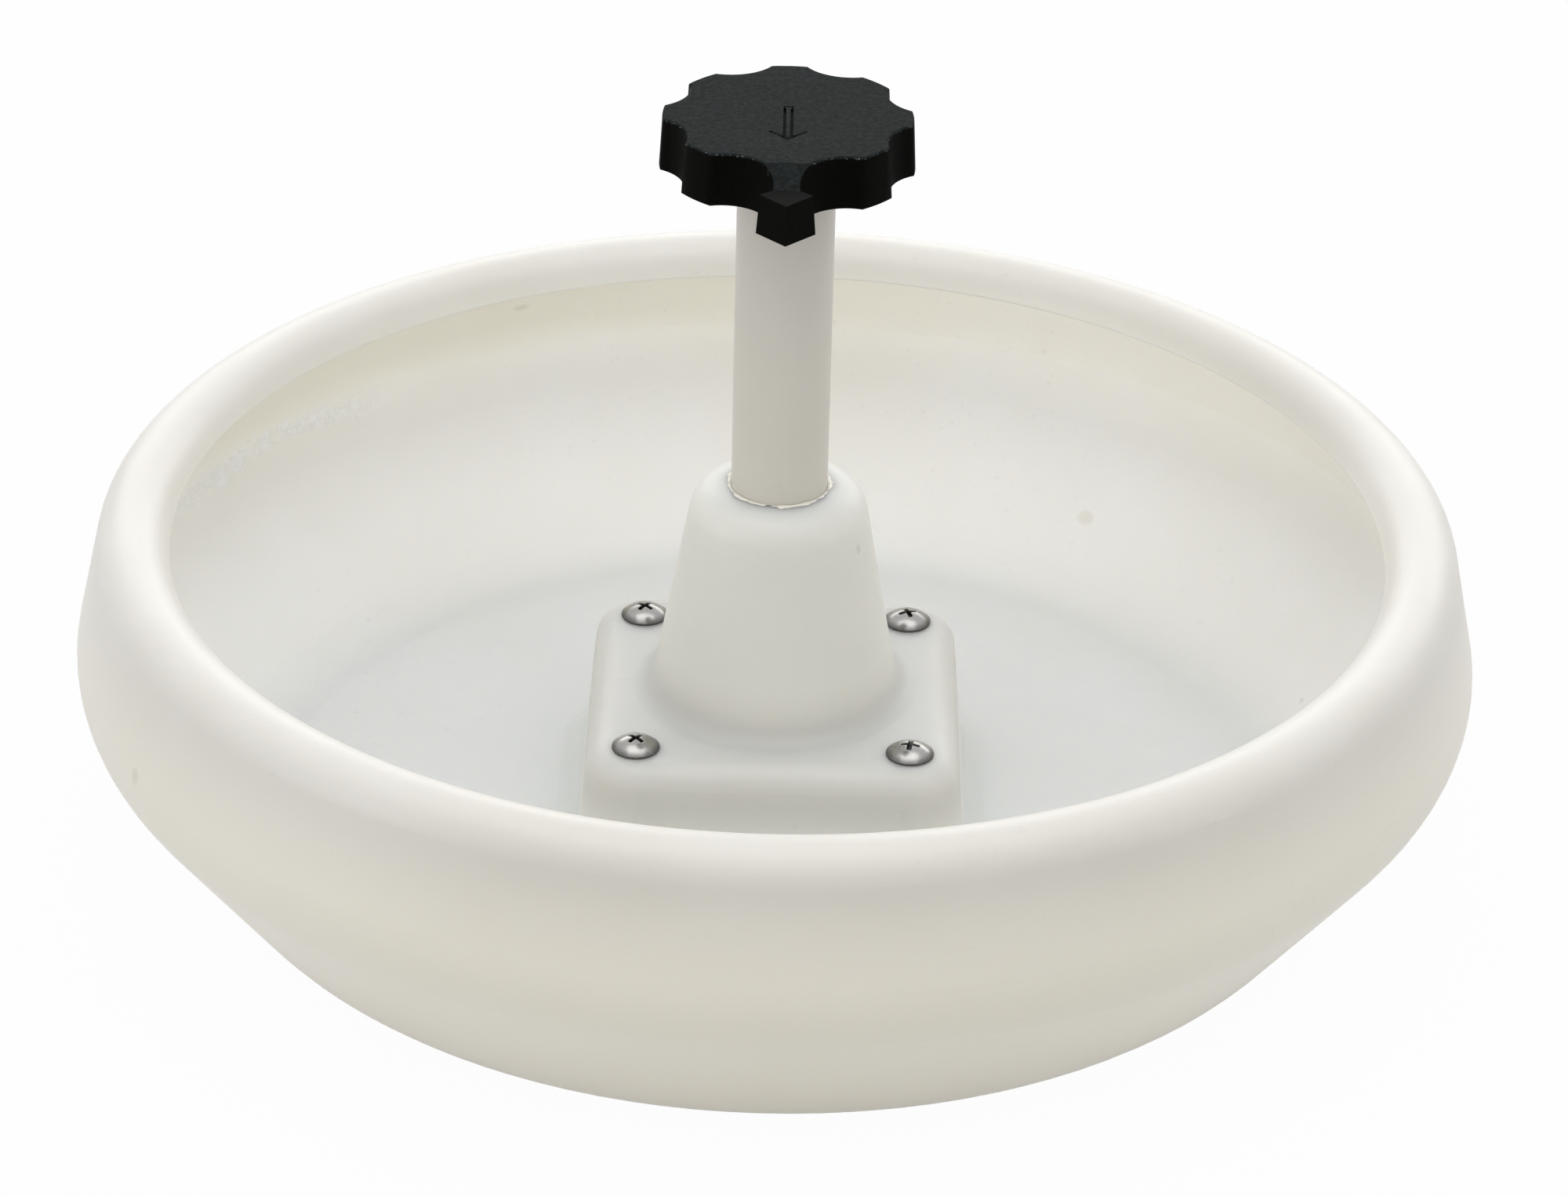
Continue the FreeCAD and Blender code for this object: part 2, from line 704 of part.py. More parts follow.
def make_knob():
    """Mould the lobed knob with its pointer, boss and cored underside."""
    body = new_body("knob", KNOB_UNDER)
    draft_run = sheet.knob_height * math.tan(math.radians(sheet.knob_draft.value))
    disc = Outline(body, "DiscOutline")
    disc.circle(ZERO, ZERO, sheet.knob_diameter / 2 + draft_run)
    pad(body, disc, "Disc", sheet.knob_height, -sheet.knob_draft)
    neck_half = sheet.pointer_neck_width / 2
    neck = Outline(body, "NeckOutline")
    neck.polygon([
        (-neck_half, -sheet.pointer_neck_reach), (neck_half, -sheet.pointer_neck_reach),
        (neck_half, -sheet.knob_core_circle_radius), (-neck_half, -sheet.knob_core_circle_radius),
    ])
    pad(body, neck, "PointerNeck", sheet.knob_height)

    scallop = Outline(body, "ScallopOutline", height=sheet.knob_height)
    turn = math.pi / LOBE_COUNT
    scallop.circle(sheet.scallop_circle_radius * math.cos(turn),
                   sheet.scallop_circle_radius * math.sin(turn), sheet.scallop_radius)
    around(body, pocket(body, scallop, "Scallops", taper=-sheet.knob_draft), LOBE_COUNT)

    barb_half = sheet.pointer_barb_width / 2
    root_half = sheet.pointer_root_width / 2
    head = Outline(body, "PointerOutline")
    head.polygon([
        (ZERO, -sheet.pointer_tip_reach),
        (barb_half, -sheet.pointer_barb_reach),
        (root_half, -sheet.pointer_root_reach),
        (-root_half, -sheet.pointer_root_reach),
        (-barb_half, -sheet.pointer_barb_reach),
    ])
    pad(body, head, "PointerHead", sheet.knob_height, -sheet.knob_draft)
    slope = Outline(body, "SlopeOutline", "YZ_Plane")
    slope.polygon([
        (-sheet.pointer_slope_start, sheet.knob_height),
        (-sheet.pointer_neck_reach, sheet.knob_height - sheet.pointer_drop),
        (-sheet.knob_diameter, sheet.knob_height - sheet.pointer_drop),
        (-sheet.knob_diameter, sheet.knob_height * 2),
        (-sheet.pointer_slope_start, sheet.knob_height * 2),
    ])
    pocket(body, slope, "PointerSlope", sheet.pointer_barb_width * 2, both_ways=True)
    soften(body, "KnobTopEdge", sheet.knob_edge_round,
           level_edge(sheet.knob_height, ZERO, sheet.knob_diameter))

    boss = Outline(body, "BossOutline", height=-sheet.knob_boss_length)
    boss.circle(ZERO, ZERO, TUBE_BORE_RADIUS - sheet.seat_play)
    pad(body, boss, "Boss", sheet.knob_boss_length + sheet.knob_height / 2)
    seat = Outline(body, "InsertOutline", height=-sheet.knob_boss_length)
    seat.hexagon(sheet.insert_width + sheet.seat_play * 2)
    pocket(body, seat, "InsertSeat", sheet.insert_height, upwards=True)
    core = Outline(body, "CoreOutline")
    core.circle(ZERO, sheet.knob_core_circle_radius, sheet.knob_core_radius)
    around(body, pocket(body, core, "Cores", sheet.knob_core_depth, upwards=True), LOBE_COUNT)
    return finish(body)


def make_screw(label, across, along):
    """Turn a screw with a wide low dome for a head."""
    body = new_body(label, sheet.island_height, across, along)
    head_radius = sheet.screw_head_diameter / 2
    rise = sheet.screw_head_height
    dome = (head_radius.value ** 2 + rise.value ** 2) / (2 * rise.value)
    drop = sheet.island_height - SCREW_NUT_UNDER + sheet.screw_end_spare
    shank = sheet.screw_diameter / 2
    outline = Outline(body, "Section", "XZ_Plane")
    corners = [(0.0, -drop.value), (shank.value, -drop.value), (shank.value, 0.0),
               (head_radius.value, 0.0)]
    edges = [outline.line(start, end) for start, end in zip(corners, corners[1:])]
    for edge, following in zip(edges, edges[1:]):
        outline.tie("Coincident", edge, 2, following, 1)
    first = math.degrees(math.asin((dome - rise.value) / dome))
    arc = outline.arc((0.0, rise.value - dome), dome, first, 90.0)
    middle = outline.line((0.0, rise.value), corners[0])
    outline.tie("Coincident", edges[-1], 2, arc, 1)
    outline.tie("Coincident", arc, 2, middle, 1)
    outline.tie("Coincident", middle, 2, edges[0], 1)
    outline.tie("PointOnObject", arc, 3, -2)
    outline.pin(edges[0], 1, ZERO, -drop)
    outline.pin(edges[1], 1, shank, -drop)
    outline.pin(edges[2], 1, shank, ZERO)
    outline.pin(edges[2], 2, head_radius, ZERO)
    outline.pin(middle, 1, ZERO, rise)
    revolve(body, outline, "Screw")
    return finish(body)


def make_washer(label, across, along):
    """Turn the small flat washer under a nut."""
    body = new_body(label, WASHER_UNDER, across, along)
    blank = Outline(body, "Blank")
    blank.circle(ZERO, ZERO, sheet.washer_diameter / 2)
    blank.circle(ZERO, ZERO, sheet.screw_diameter / 2 + sheet.screw_hole_play)
    pad(body, blank, "Washer", sheet.washer_thickness)
    return finish(body)


def make_fastenings():
    """Set a screw, a washer and a nut at each corner of the island."""
    pieces = []
    signs = ((-1, -1), (1, -1), (1, 1), (-1, 1))
    for number, (side, depth) in enumerate(signs, start=1):
        across = SCREW_PLACE * side
        along = SCREW_PLACE * depth
        pieces.append(make_screw(f"flange_screw_{number}", across, along))
        pieces.append(make_washer(f"flange_washer_{number}", across, along))
        pieces.append(make_hexagon_nut(
            f"flange_nut_{number}", sheet.screw_nut_width, sheet.screw_nut_height,
            sheet.screw_diameter / 2 + sheet.seat_play, SCREW_NUT_UNDER, across, along))
    return pieces


def make_latch_nuts():
    """Make the two nuts on the rod and the threaded insert in the knob."""
    bore = ROD_RADIUS + sheet.seat_play
    return [
        make_hexagon_nut("clamp_nut", sheet.rod_nut_width, sheet.clamp_nut_height, bore,
                         PLUG_UNDER - sheet.clamp_nut_height),
        make_hexagon_nut("tee_lock_nut", sheet.rod_nut_width, sheet.tee_nut_height, bore, TEE_TOP),
        make_hexagon_nut("knob_insert", sheet.insert_width, sheet.insert_height, bore, INSERT_UNDER),
    ]


def check_document():
    """Stop if any object failed or came out without a valid shape."""
    document.recompute()
    for item in document.Objects:
        if {"Invalid", "Error"} & set(item.State):
            raise RuntimeError(f"{item.Label} failed: {item.State}")
        if hasattr(item, "Shape") and not item.isDerivedFrom("App::DocumentObjectGroup"):
            shape = item.Shape
            if item.isDerivedFrom("Part::Feature") and not shape.isNull() and not shape.isValid():
                raise RuntimeError(f"{item.Label} has an invalid shape")


def write_parts(pieces):
    """Check each sub-part is one good solid and write it under its own name."""
    os.makedirs("parts", exist_ok=True)
    for piece in pieces:
        shape = piece.Shape
        if shape.isNull() or not shape.isValid() or len(shape.Solids) != 1:
            raise RuntimeError(f"{piece.Label} is not one valid solid")
        shape.exportStep(f"parts/{piece.Label}.step")
        print(f"{piece.Label}: {shape.Volume:.1f} mm3")


def main():
    pieces = [
        make_feed_pan(),
        make_mount_plate(),
        make_guide_bush(),
        make_spring_seat(),
        make_latch_spring(),
        make_thrust_washer(),
        make_post_tube(),
        make_tube_plug(),
        make_latch_rod(),
        make_tee_bar(),
        make_knob(),
    ]
    pieces.extend(make_latch_nuts())
    pieces.extend(make_fastenings())
    check_document()
    write_parts(pieces)


main()
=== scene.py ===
"""Dress the piglet feeder pan: finishes, fine pieces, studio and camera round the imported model."""

import logging
import math
from dataclasses import dataclass
from enum import Enum
from typing import Any, Union

import bmesh
import bpy
import numpy as np
from mathutils import Matrix, Vector


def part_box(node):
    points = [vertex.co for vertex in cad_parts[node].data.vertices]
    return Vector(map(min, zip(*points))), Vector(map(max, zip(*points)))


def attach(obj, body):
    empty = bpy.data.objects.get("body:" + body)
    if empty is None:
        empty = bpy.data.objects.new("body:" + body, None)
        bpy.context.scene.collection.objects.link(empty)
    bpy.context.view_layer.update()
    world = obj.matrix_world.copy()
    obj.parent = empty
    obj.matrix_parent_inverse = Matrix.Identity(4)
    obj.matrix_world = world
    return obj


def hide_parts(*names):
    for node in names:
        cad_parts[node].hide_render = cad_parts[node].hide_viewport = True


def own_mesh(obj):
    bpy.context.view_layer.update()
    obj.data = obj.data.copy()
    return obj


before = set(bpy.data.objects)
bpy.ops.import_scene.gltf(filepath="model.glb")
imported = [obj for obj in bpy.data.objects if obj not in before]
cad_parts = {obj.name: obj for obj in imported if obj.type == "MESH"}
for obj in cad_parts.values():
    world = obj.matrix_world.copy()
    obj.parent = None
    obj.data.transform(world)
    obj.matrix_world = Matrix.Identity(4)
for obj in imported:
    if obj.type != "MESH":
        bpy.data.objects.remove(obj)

log = logging.getLogger("feeder_pan")
MM = 0.001
FULL_TURN = 2 * math.pi
UP = np.array([0.0, 0.0, 1.0])
MERGE_DISTANCE = 1e-7
SCREW_NUMBERS = range(1, 5)
WHITE = (1.0, 1.0, 1.0, 1.0)
Colour = tuple[float, float, float]
Point = tuple[float, float, float]
Span = tuple[float, float]
Number = Union[float, "Wire"]


class Body(Enum):
    """The bodies of the CAD model that new pieces ride on."""

    PAN = "pan"
    LATCH = "latch"


class Slot(Enum):
    """The record's material slots."""

    POLYETHYLENE = "white_polyethylene"
    PIPE = "grey_white_pipe"
    KNOB = "black_knob_plastic"
    NYLON = "black_nylon"
    STAINLESS = "stainless_steel"
    ZINC = "zinc_steel"
    SPRING = "spring_steel"
    BRASS = "brass"


class Wire:
    """A socket of a node tree that takes part in sums as a number does."""

    def __init__(self, recipe: "Recipe", socket: bpy.types.NodeSocket) -> None:
        """Keep the socket and the tree that it is in."""
        self.recipe = recipe
        self.socket = socket

    def __add__(self, other: Number) -> "Wire":
        """Give self + other."""
        return self.recipe.math("ADD", self, other)

    __radd__ = __add__

    def __sub__(self, other: Number) -> "Wire":
        """Give self - other."""
        return self.recipe.math("SUBTRACT", self, other)

    def __rsub__(self, other: Number) -> "Wire":
        """Give other - self."""
        return self.recipe.math("SUBTRACT", other, self)

    def __mul__(self, other: Number) -> "Wire":
        """Give self x other."""
        return self.recipe.math("MULTIPLY", self, other)

    __rmul__ = __mul__

    def __truediv__(self, other: Number) -> "Wire":
        """Give self / other."""
        return self.recipe.math("DIVIDE", self, other)

    def capped(self) -> "Wire":
        """Give the value, or 1 where it is more."""
        return self.recipe.math("MINIMUM", self, 1.0)

    def or_more(self, other: Number) -> "Wire":
        """Give the larger of self and other."""
        return self.recipe.math("MAXIMUM", self, other)

    def swing(self, width: float) -> "Wire":
        """Turn a pattern that runs from 0 to 1 into one about 0 that is width wide."""
        return (self - 0.5) * width

    def step(self, low: float, high: float) -> "Wire":
        """Rise or fall smoothly between two values.

        Args:
            low: the value where the result is 0.
            high: the value where the result is 1; the result falls if this is the smaller.

        Returns:
            A smooth cubic between 0 and 1.
        """
        rising = self.recipe.node(
            "ShaderNodeMapRange", {"interpolation_type": "SMOOTHSTEP"},
            {"Value": self, "From Min": min(low, high), "From Max": max(low, high)})
        value = self.recipe.wire(rising, "Result")
        return value if low < high else 1.0 - value


class Recipe:
    """A node tree, written as expressions."""

    COLOUR_LOW, COLOUR_HIGH, COLOUR_RESULT = 6, 7, 2

    def __init__(self, tree: bpy.types.NodeTree) -> None:
        """Start from an empty tree."""
        self.tree = tree
        self.tree.nodes.clear()

    def node(self, kind: str, settings: dict[str, Any] | None = None,
             sockets: dict[Union[str, int], Any] | None = None) -> bpy.types.Node:
        """Add a node.

        Args:
            kind: the node's type.
            settings: its own settings, set before the sockets.
            sockets: values or wires by socket name or number.

        Returns:
            The new node.
        """
        made = self.tree.nodes.new(kind)
        for key, value in (settings or {}).items():
            setattr(made, key, value)
        for key, value in (sockets or {}).items():
            if isinstance(value, Wire):
                self.tree.links.new(value.socket, made.inputs[key])
            elif value is not None:
                made.inputs[key].default_value = value
        return made

    def wire(self, node: bpy.types.Node, output: Union[str, int] = 0) -> Wire:
        """Wrap one output of a node."""
        return Wire(self, node.outputs[output])

    def math(self, operation: str, *terms: Number) -> Wire:
        """Add a Math node and give its result."""
        return self.wire(
            self.node("ShaderNodeMath", {"operation": operation}, dict(enumerate(terms))))

    def parts(self, vector: Wire) -> tuple[Wire, ...]:
        """Give a vector's three parts."""
        split = self.node("ShaderNodeSeparateXYZ", {}, {"Vector": vector})
        return tuple(self.wire(split, axis) for axis in "XYZ")

    def blend(self, factor: Number, low: Union[Colour, Wire], high: Union[Colour, Wire]) -> Wire:
        """Mix two colours.

        Args:
            factor: the share of the second colour.
            low: the colour at 0.
            high: the colour at 1.

        Returns:
            The mixed colour.
        """
        first, second = (end if isinstance(end, Wire) else (*end, 1.0) for end in (low, high))
        made = self.node(
            "ShaderNodeMix", {"data_type": "RGBA"},
            {"Factor": factor, self.COLOUR_LOW: first, self.COLOUR_HIGH: second})
        return self.wire(made, self.COLOUR_RESULT)

    def bump(self, height: Wire, depth_mm: float, before: Wire | None = None) -> Wire:
        """Tilt the normal by a height.

        Args:
            height: the height as a share of the depth.
            depth_mm: the depth that a height of 1 stands for.
            before: the normal that is tilted, if not the surface's own.

        Returns:
            The tilted normal.
        """
        made = self.node(
            "ShaderNodeBump", {},
            {"Height": height, "Distance": depth_mm * MM, "Strength": 1.0, "Normal": before})
        return self.wire(made, "Normal")


class MaterialRecipe(Recipe):
    """A material's node tree, with the place in the object's own coordinates, in metres."""

    UNROLLED_RADIUS = 0.1
    SPOT_CORE = 0.1

    def __init__(self, name: str) -> None:
        """Start the material and read the place and the way that the surface faces.

        Args:
            name: the material's name.
        """
        self.material = bpy.data.materials.new(name)
        self.material.use_nodes = True
        super().__init__(self.material.node_tree)
        self.place = self.wire(self.node("ShaderNodeTexCoord"), "Object")
        self.x, self.y, self.z = self.parts(self.place)
        normal = self.wire(self.node("ShaderNodeNewGeometry"), "Normal")
        self.facing_x, self.facing_y, self.facing_up = self.parts(normal)

    def noise(self, cells: float, detail: float = 2.0, roughness: float = 0.5,
              stretch: Point = (1.0, 1.0, 1.0), at: Wire | None = None) -> Wire:
        """Add a cloudy pattern.

        Args:
            cells: cells to the metre.
            detail: how many finer layers there are.
            roughness: how strong the finer layers are.
            stretch: how many times more cells there are along each axis.
            at: where the pattern is read, if not at the place itself.

        Returns:
            A value from 0 to 1, mostly about 0.5.
        """
        spot = self.node("ShaderNodeMapping", {"vector_type": "POINT"},
                         {"Vector": at or self.place, "Scale": stretch})
        made = self.node("ShaderNodeTexNoise", {},
                         {"Vector": self.wire(spot), "Scale": cells, "Detail": detail,
                          "Roughness": roughness})
        return self.wire(made)

    def around(self) -> Wire:
        """Give angle, radius and height as a vector, for marks that run round the axis.

        Returns:
            The vector in metres, its angle as an arc's length at the unrolled radius.
        """
        arc = self.math("ARCTAN2", self.y, self.x) * self.UNROLLED_RADIUS
        joined = self.node("ShaderNodeCombineXYZ", {}, {"X": arc, "Y": self.radius(), "Z": self.z})
        return self.wire(joined)

    def radius(self) -> Wire:
        """Give the distance from the post's axis."""
        return self.math("SQRT", self.x * self.x + self.y * self.y)

    def outward(self, radius: Wire) -> Wire:
        """Give the share of the normal that points away from the axis, from -1 to 1."""
        return (self.facing_x * self.x + self.facing_y * self.y) / radius

    def near(self, spot: Point, reach: Point) -> Wire:
        """Mark a soft spot.

        Args:
            spot: its middle in millimetres.
            reach: the half axes of its ellipsoid in millimetres.

        Returns:
            1 at the middle, falling to 0 on the ellipsoid.
        """
        shares = ((axis - middle * MM) / (half * MM)
                  for axis, middle, half in zip((self.x, self.y, self.z), spot, reach))
        across, along, up = (share * share for share in shares)
        return (across + along + up).step(1.0, self.SPOT_CORE)

    def painted_shade(self) -> Wire:
        """Give the share of painted shade that a mesh keeps at its points."""
        return self.wire(self.node("ShaderNodeAttribute", {"attribute_name": "painted_shade"}), "Fac")

    def finish(self, sockets: dict[str, Any]) -> bpy.types.Material:
        """Close the tree.

        Args:
            sockets: the Principled shader's values and wires.

        Returns:
            The material.
        """
        shader = self.node("ShaderNodeBsdfPrincipled", {}, sockets)
        self.node("ShaderNodeOutputMaterial", {}, {"Surface": self.wire(shader)})
        return self.material


@dataclass(frozen=True)
class SoftCorner:
    """A level circle round the axis, along which a corner looks rounder; in millimetres."""

    radius: float
    height: float
    reach: float
    depth: float
    rounding: float = 7.0

    def swell(self, mix: MaterialRecipe, radius: Wire) -> Wire:
        """Give a height that falls off smoothly with the distance from the circle.

        Args:
            mix: the material's recipe.
            radius: the distance from the axis.

        Returns:
            A share from 0 to 1. The distance is rounded off near the circle, so it has no crease.
        """
        out = (radius - self.radius * MM) / MM
        up = (mix.z - self.height * MM) / MM
        away = mix.math("SQRT", out * out + up * up + self.rounding ** 2)
        return away.step(self.reach, -self.reach)


@dataclass(frozen=True)
class MilkyPolyethylene:
    """Natural polyethylene moulding, slightly see-through, warm above and tinted cooler on its
    floor.
    Its regions are lit and shaded copies of one colour, so much of the colour is painted light and
    shade.

    A span named for a height, a radius or a side gives where a tint starts and where it is full,
    in metres. A span named for a lean is of the surface's normal.
    """

    name: str = "milky_polyethylene"
    # The rim's colours, painted darker than the inside and the outside: painted shade on the rim.
    cream: Colour = (0.645, 0.632, 0.60)
    pale: Colour = (0.675, 0.664, 0.636)
    # The inside's colours, painted paler: painted light, as if the wall let light through.
    inner: Colour = (0.885, 0.862, 0.80)
    milk: Colour = (0.94, 0.925, 0.87)
    cool: Colour = (0.80, 0.825, 0.79)
    outer: Colour = (0.73, 0.71, 0.645)
    # Painted shade under the lip.
    shade: Colour = (0.74, 0.728, 0.665)
    # Painted shade on the island.
    grey: Colour = (0.585, 0.583, 0.562)
    beige: Colour = (0.885, 0.845, 0.75)
    grime: Colour = (0.42, 0.41, 0.38)
    # A painted highlight along the seam.
    glint: Colour = (0.97, 0.965, 0.94)
    clouds: Span = (0.35, 0.7)
    cover: float = 0.9
    flank_lean: Span = (0.05, 0.45)
    flank_radius: Span = (0.1, 0.11)
    under_lean: Span = (-0.1, -0.5)
    outer_height: Span = (0.08, 0.045)
    inner_height: Span = (0.082, 0.07)
    shade_height: Span = (0.05, 0.062)
    shade_back: Span = (-0.04, 0.04)
    shade_left: Span = (0.12, -0.08)
    floor_height: Span = (0.03, 0.004)
    floor_radius: Span = (0.112, 0.03)
    floor_skin: Span = (0.002, 0.004)
    island_height: Span = (0.012, 0.03)
    island_radius: Span = (0.075, 0.06)
    cone_height: Span = (0.034, 0.052)
    cone_radius: Span = (0.046, 0.026)
    floor_corner: SoftCorner = SoftCorner(radius=125.2, height=6.3, reach=38.0, depth=11.0)
    floor_lean: Span = (-0.2, 0.3)
    cone_foot: SoftCorner = SoftCorner(radius=32.0, height=38.0, reach=16.0, depth=4.5)
    wave_mm: float = 1.1
    peel_mm: float = 0.012
    seam_mm: float = 0.5
    scratch_mm: float = 0.06
    scratches: tuple[Point, Point] = ((100.0, -120.0, 40.0), (26.0, 24.0, 14.0))
    seam_height_mm: float = 50.0
    seam_wander: float = 0.012
    seam_band: Span = (14.0, 1.0)
    seam_lean: Span = (0.0, -0.4)
    seam_spread: tuple[Point, Point] = ((-126.0, 84.0, 50.0), (44.0, 62.0, 16.0))
    seam_tint: float = 0.8
    rubs: tuple[tuple[Point, Point], ...] = (
        ((-140.5, -79.9, 55.3), (2.0, 2.0, 2.6)),
        ((-66.8, 139.8, 66.1), (3.2, 2.0, 1.2)),
        ((78.2, 115.7, 22.4), (3.0, 3.0, 2.2)),
        ((128.1, 38.2, 14.6), (1.0, 1.0, 1.0)),
        ((18.5, -10.8, 79.6), (1.0, 1.0, 1.6)),
    )
    rub_strength: float = 0.8
    grit_strength: float = 0.35
    scuff_tint: float = 0.35
    roughness: float = 0.42
    streak_roughness: float = 0.16
    cloud_roughness: float = 0.1
    subsurface: float = 1.0
    subsurface_mm: float = 14.0
    subsurface_radius: Colour = (1.0, 0.92, 0.8)
    ior: float = 1.5

    def make(self) -> bpy.types.Material:
        """Make the material.

        Returns:
            The material.
        """
        mix = MaterialRecipe(self.name)
        radius = mix.radius()
        cloud = mix.noise(cells=14.0, detail=3.0)
        colour = self.tint(mix, radius, cloud.step(*self.clouds))
        # The seam's ridge is real; its bright colour is a painted glint.
        colour = mix.blend(self.seam(mix, radius) * self.seam_tint, colour, self.glint)
        colour = mix.blend(self.scuffs(mix) * self.scuff_tint, colour, self.grime)
        streaks = mix.noise(cells=60.0, detail=3.0, at=mix.around(), stretch=(1.0, 1.0, 30.0))
        rough = (self.roughness + streaks.swing(self.streak_roughness)
                 + cloud.swing(self.cloud_roughness))
        return mix.finish({
            "Base Color": colour, "Roughness": rough, "Normal": self.relief(mix, radius),
            "Subsurface Weight": self.subsurface, "Subsurface Radius": self.subsurface_radius,
            "Subsurface Scale": self.subsurface_mm * MM, "IOR": self.ior,
        })

    def tint(self, mix: MaterialRecipe, radius: Wire, cloud: Wire) -> Wire:
        """Lay each region's colour over the one before. The regions are lit and shaded copies of one
        colour: the inside is painted paler, as if lit through the wall, than the rim and the
        outside, and the band under the lip and the island are painted shade.

        Args:
            mix: the material's recipe.
            radius: the distance from the axis.
            cloud: the share of the paler of two colours.

        Returns:
            The colour with no marks.
        """
        height, lean = mix.z, mix.facing_up
        flank = mix.outward(radius).step(*self.flank_lean) * radius.step(*self.flank_radius)
        outside = flank + lean.step(*self.under_lean)
        colour = mix.blend(cloud, self.cream, self.pale)
        colour = mix.blend(height.step(*self.outer_height) * self.cover, colour, self.outer)
        # Painted light: the inside is painted paler, as if lit through the wall.
        inside = (1.0 - outside.capped()) * height.step(*self.inner_height)
        colour = mix.blend(inside, colour, mix.blend(cloud, self.inner, self.milk))
        # Painted shade: a band under the lip, on the far and left sides, is painted darker.
        lip = (height.step(*self.shade_height) * mix.y.step(*self.shade_back)
               * mix.x.step(*self.shade_left))
        colour = mix.blend(inside * lip, colour, self.shade)
        floor = (height.step(*self.floor_height) * radius.step(*self.floor_radius)
                 * height.step(*self.floor_skin))
        colour = mix.blend(floor * self.cover, colour, self.cool)
        # Painted shade: the island is painted greyer.
        island = height.step(*self.island_height) * radius.step(*self.island_radius)
        colour = mix.blend(island * self.cover, colour, self.grey)
        cone = radius.step(*self.cone_radius) * height.step(*self.cone_height)
        return mix.blend(cone, colour, self.beige)

    def relief(self, mix: MaterialRecipe, radius: Wire) -> Wire:
        """Tilt the normal.

        Args:
            mix: the material's recipe.
            radius: the distance from the axis.

        Returns:
            The normal with softened corners, broad waves, orange peel, the seam and scratches.
        """
        corner = self.floor_corner.swell(mix, radius) * mix.facing_up.step(*self.floor_lean)
        soft = mix.bump(corner, self.floor_corner.depth)
        soft = mix.bump(self.cone_foot.swell(mix, radius), self.cone_foot.depth, soft)
        swirl = mix.noise(cells=7.0, detail=1.0, at=mix.around(), stretch=(1.0, 1.0, 2.5))
        wave = mix.bump(mix.noise(cells=16.0, detail=1.0) + swirl * 0.8, self.wave_mm, soft)
        peel = mix.bump(mix.noise(cells=620.0), self.peel_mm, wave)
        crumbs = mix.bump(self.seam(mix, radius), self.seam_mm, peel)
        hair = mix.noise(cells=90.0, stretch=(0.12, 0.12, 9.0)).step(0.66, 0.72)
        return mix.bump(1.0 - hair * mix.near(*self.scratches), self.scratch_mm, crumbs)

    def seam(self, mix: MaterialRecipe, radius: Wire) -> Wire:
        """Mark the crumpled line that the mould left round part of the knee, on the inside.

        Args:
            mix: the material's recipe.
            radius: the distance from the axis.

        Returns:
            A share from 0 to 1, highest on the line.
        """
        wander = mix.noise(cells=24.0).swing(self.seam_wander)
        line = (mix.z + wander - self.seam_height_mm * MM) / MM
        band = (line * line).step(*self.seam_band)
        spread = mix.near(*self.seam_spread) * mix.outward(radius).step(*self.seam_lean)
        torn = mix.noise(cells=330.0, detail=3.0, roughness=0.65).step(0.4, 0.62)
        return band * spread * (0.25 + torn * 0.75)

    def scuffs(self, mix: MaterialRecipe) -> Wire:
        """Mark the small rubs and specks of dirt.

        Args:
            mix: the material's recipe.

        Returns:
            A share from 0 to 1, highest on a mark.
        """
        first, *others = self.rubs
        marks = mix.near(*first)
        for rub in others:
            marks = marks + mix.near(*rub)
        grit = mix.noise(cells=420.0).step(0.66, 0.74)
        grit = grit * mix.noise(cells=9.0, detail=1.0).step(0.5, 0.7)
        return (marks * self.rub_strength + grit * self.grit_strength).capped()


@dataclass(frozen=True)
class PipePlastic:
    """Plain extruded pipe with faint lines along it."""

    name: str = "pipe_plastic"
    colour: Colour = (0.66, 0.64, 0.585)
    pale: Colour = (0.71, 0.69, 0.64)
    roughness: float = 0.4
    cloud_roughness: float = 0.2
    line_mm: float = 0.012
    subsurface: float = 0.2
    subsurface_mm: float = 2.0
    subsurface_radius: Colour = (1.0, 0.95, 0.85)

    def make(self) -> bpy.types.Material:
        """Make the material.

        Returns:
            The material.
        """
        mix = MaterialRecipe(self.name)
        lines = mix.noise(cells=1400.0, stretch=(1.0, 1.0, 0.01))
        cloud = mix.noise(cells=40.0, detail=3.0)
        return mix.finish({
            "Base Color": mix.blend(cloud, self.colour, self.pale),
            "Roughness": self.roughness + cloud.swing(self.cloud_roughness),
            "Normal": mix.bump(lines, self.line_mm),
            "Subsurface Weight": self.subsurface, "Subsurface Radius": self.subsurface_radius,
            "Subsurface Scale": self.subsurface_mm * MM,
        })


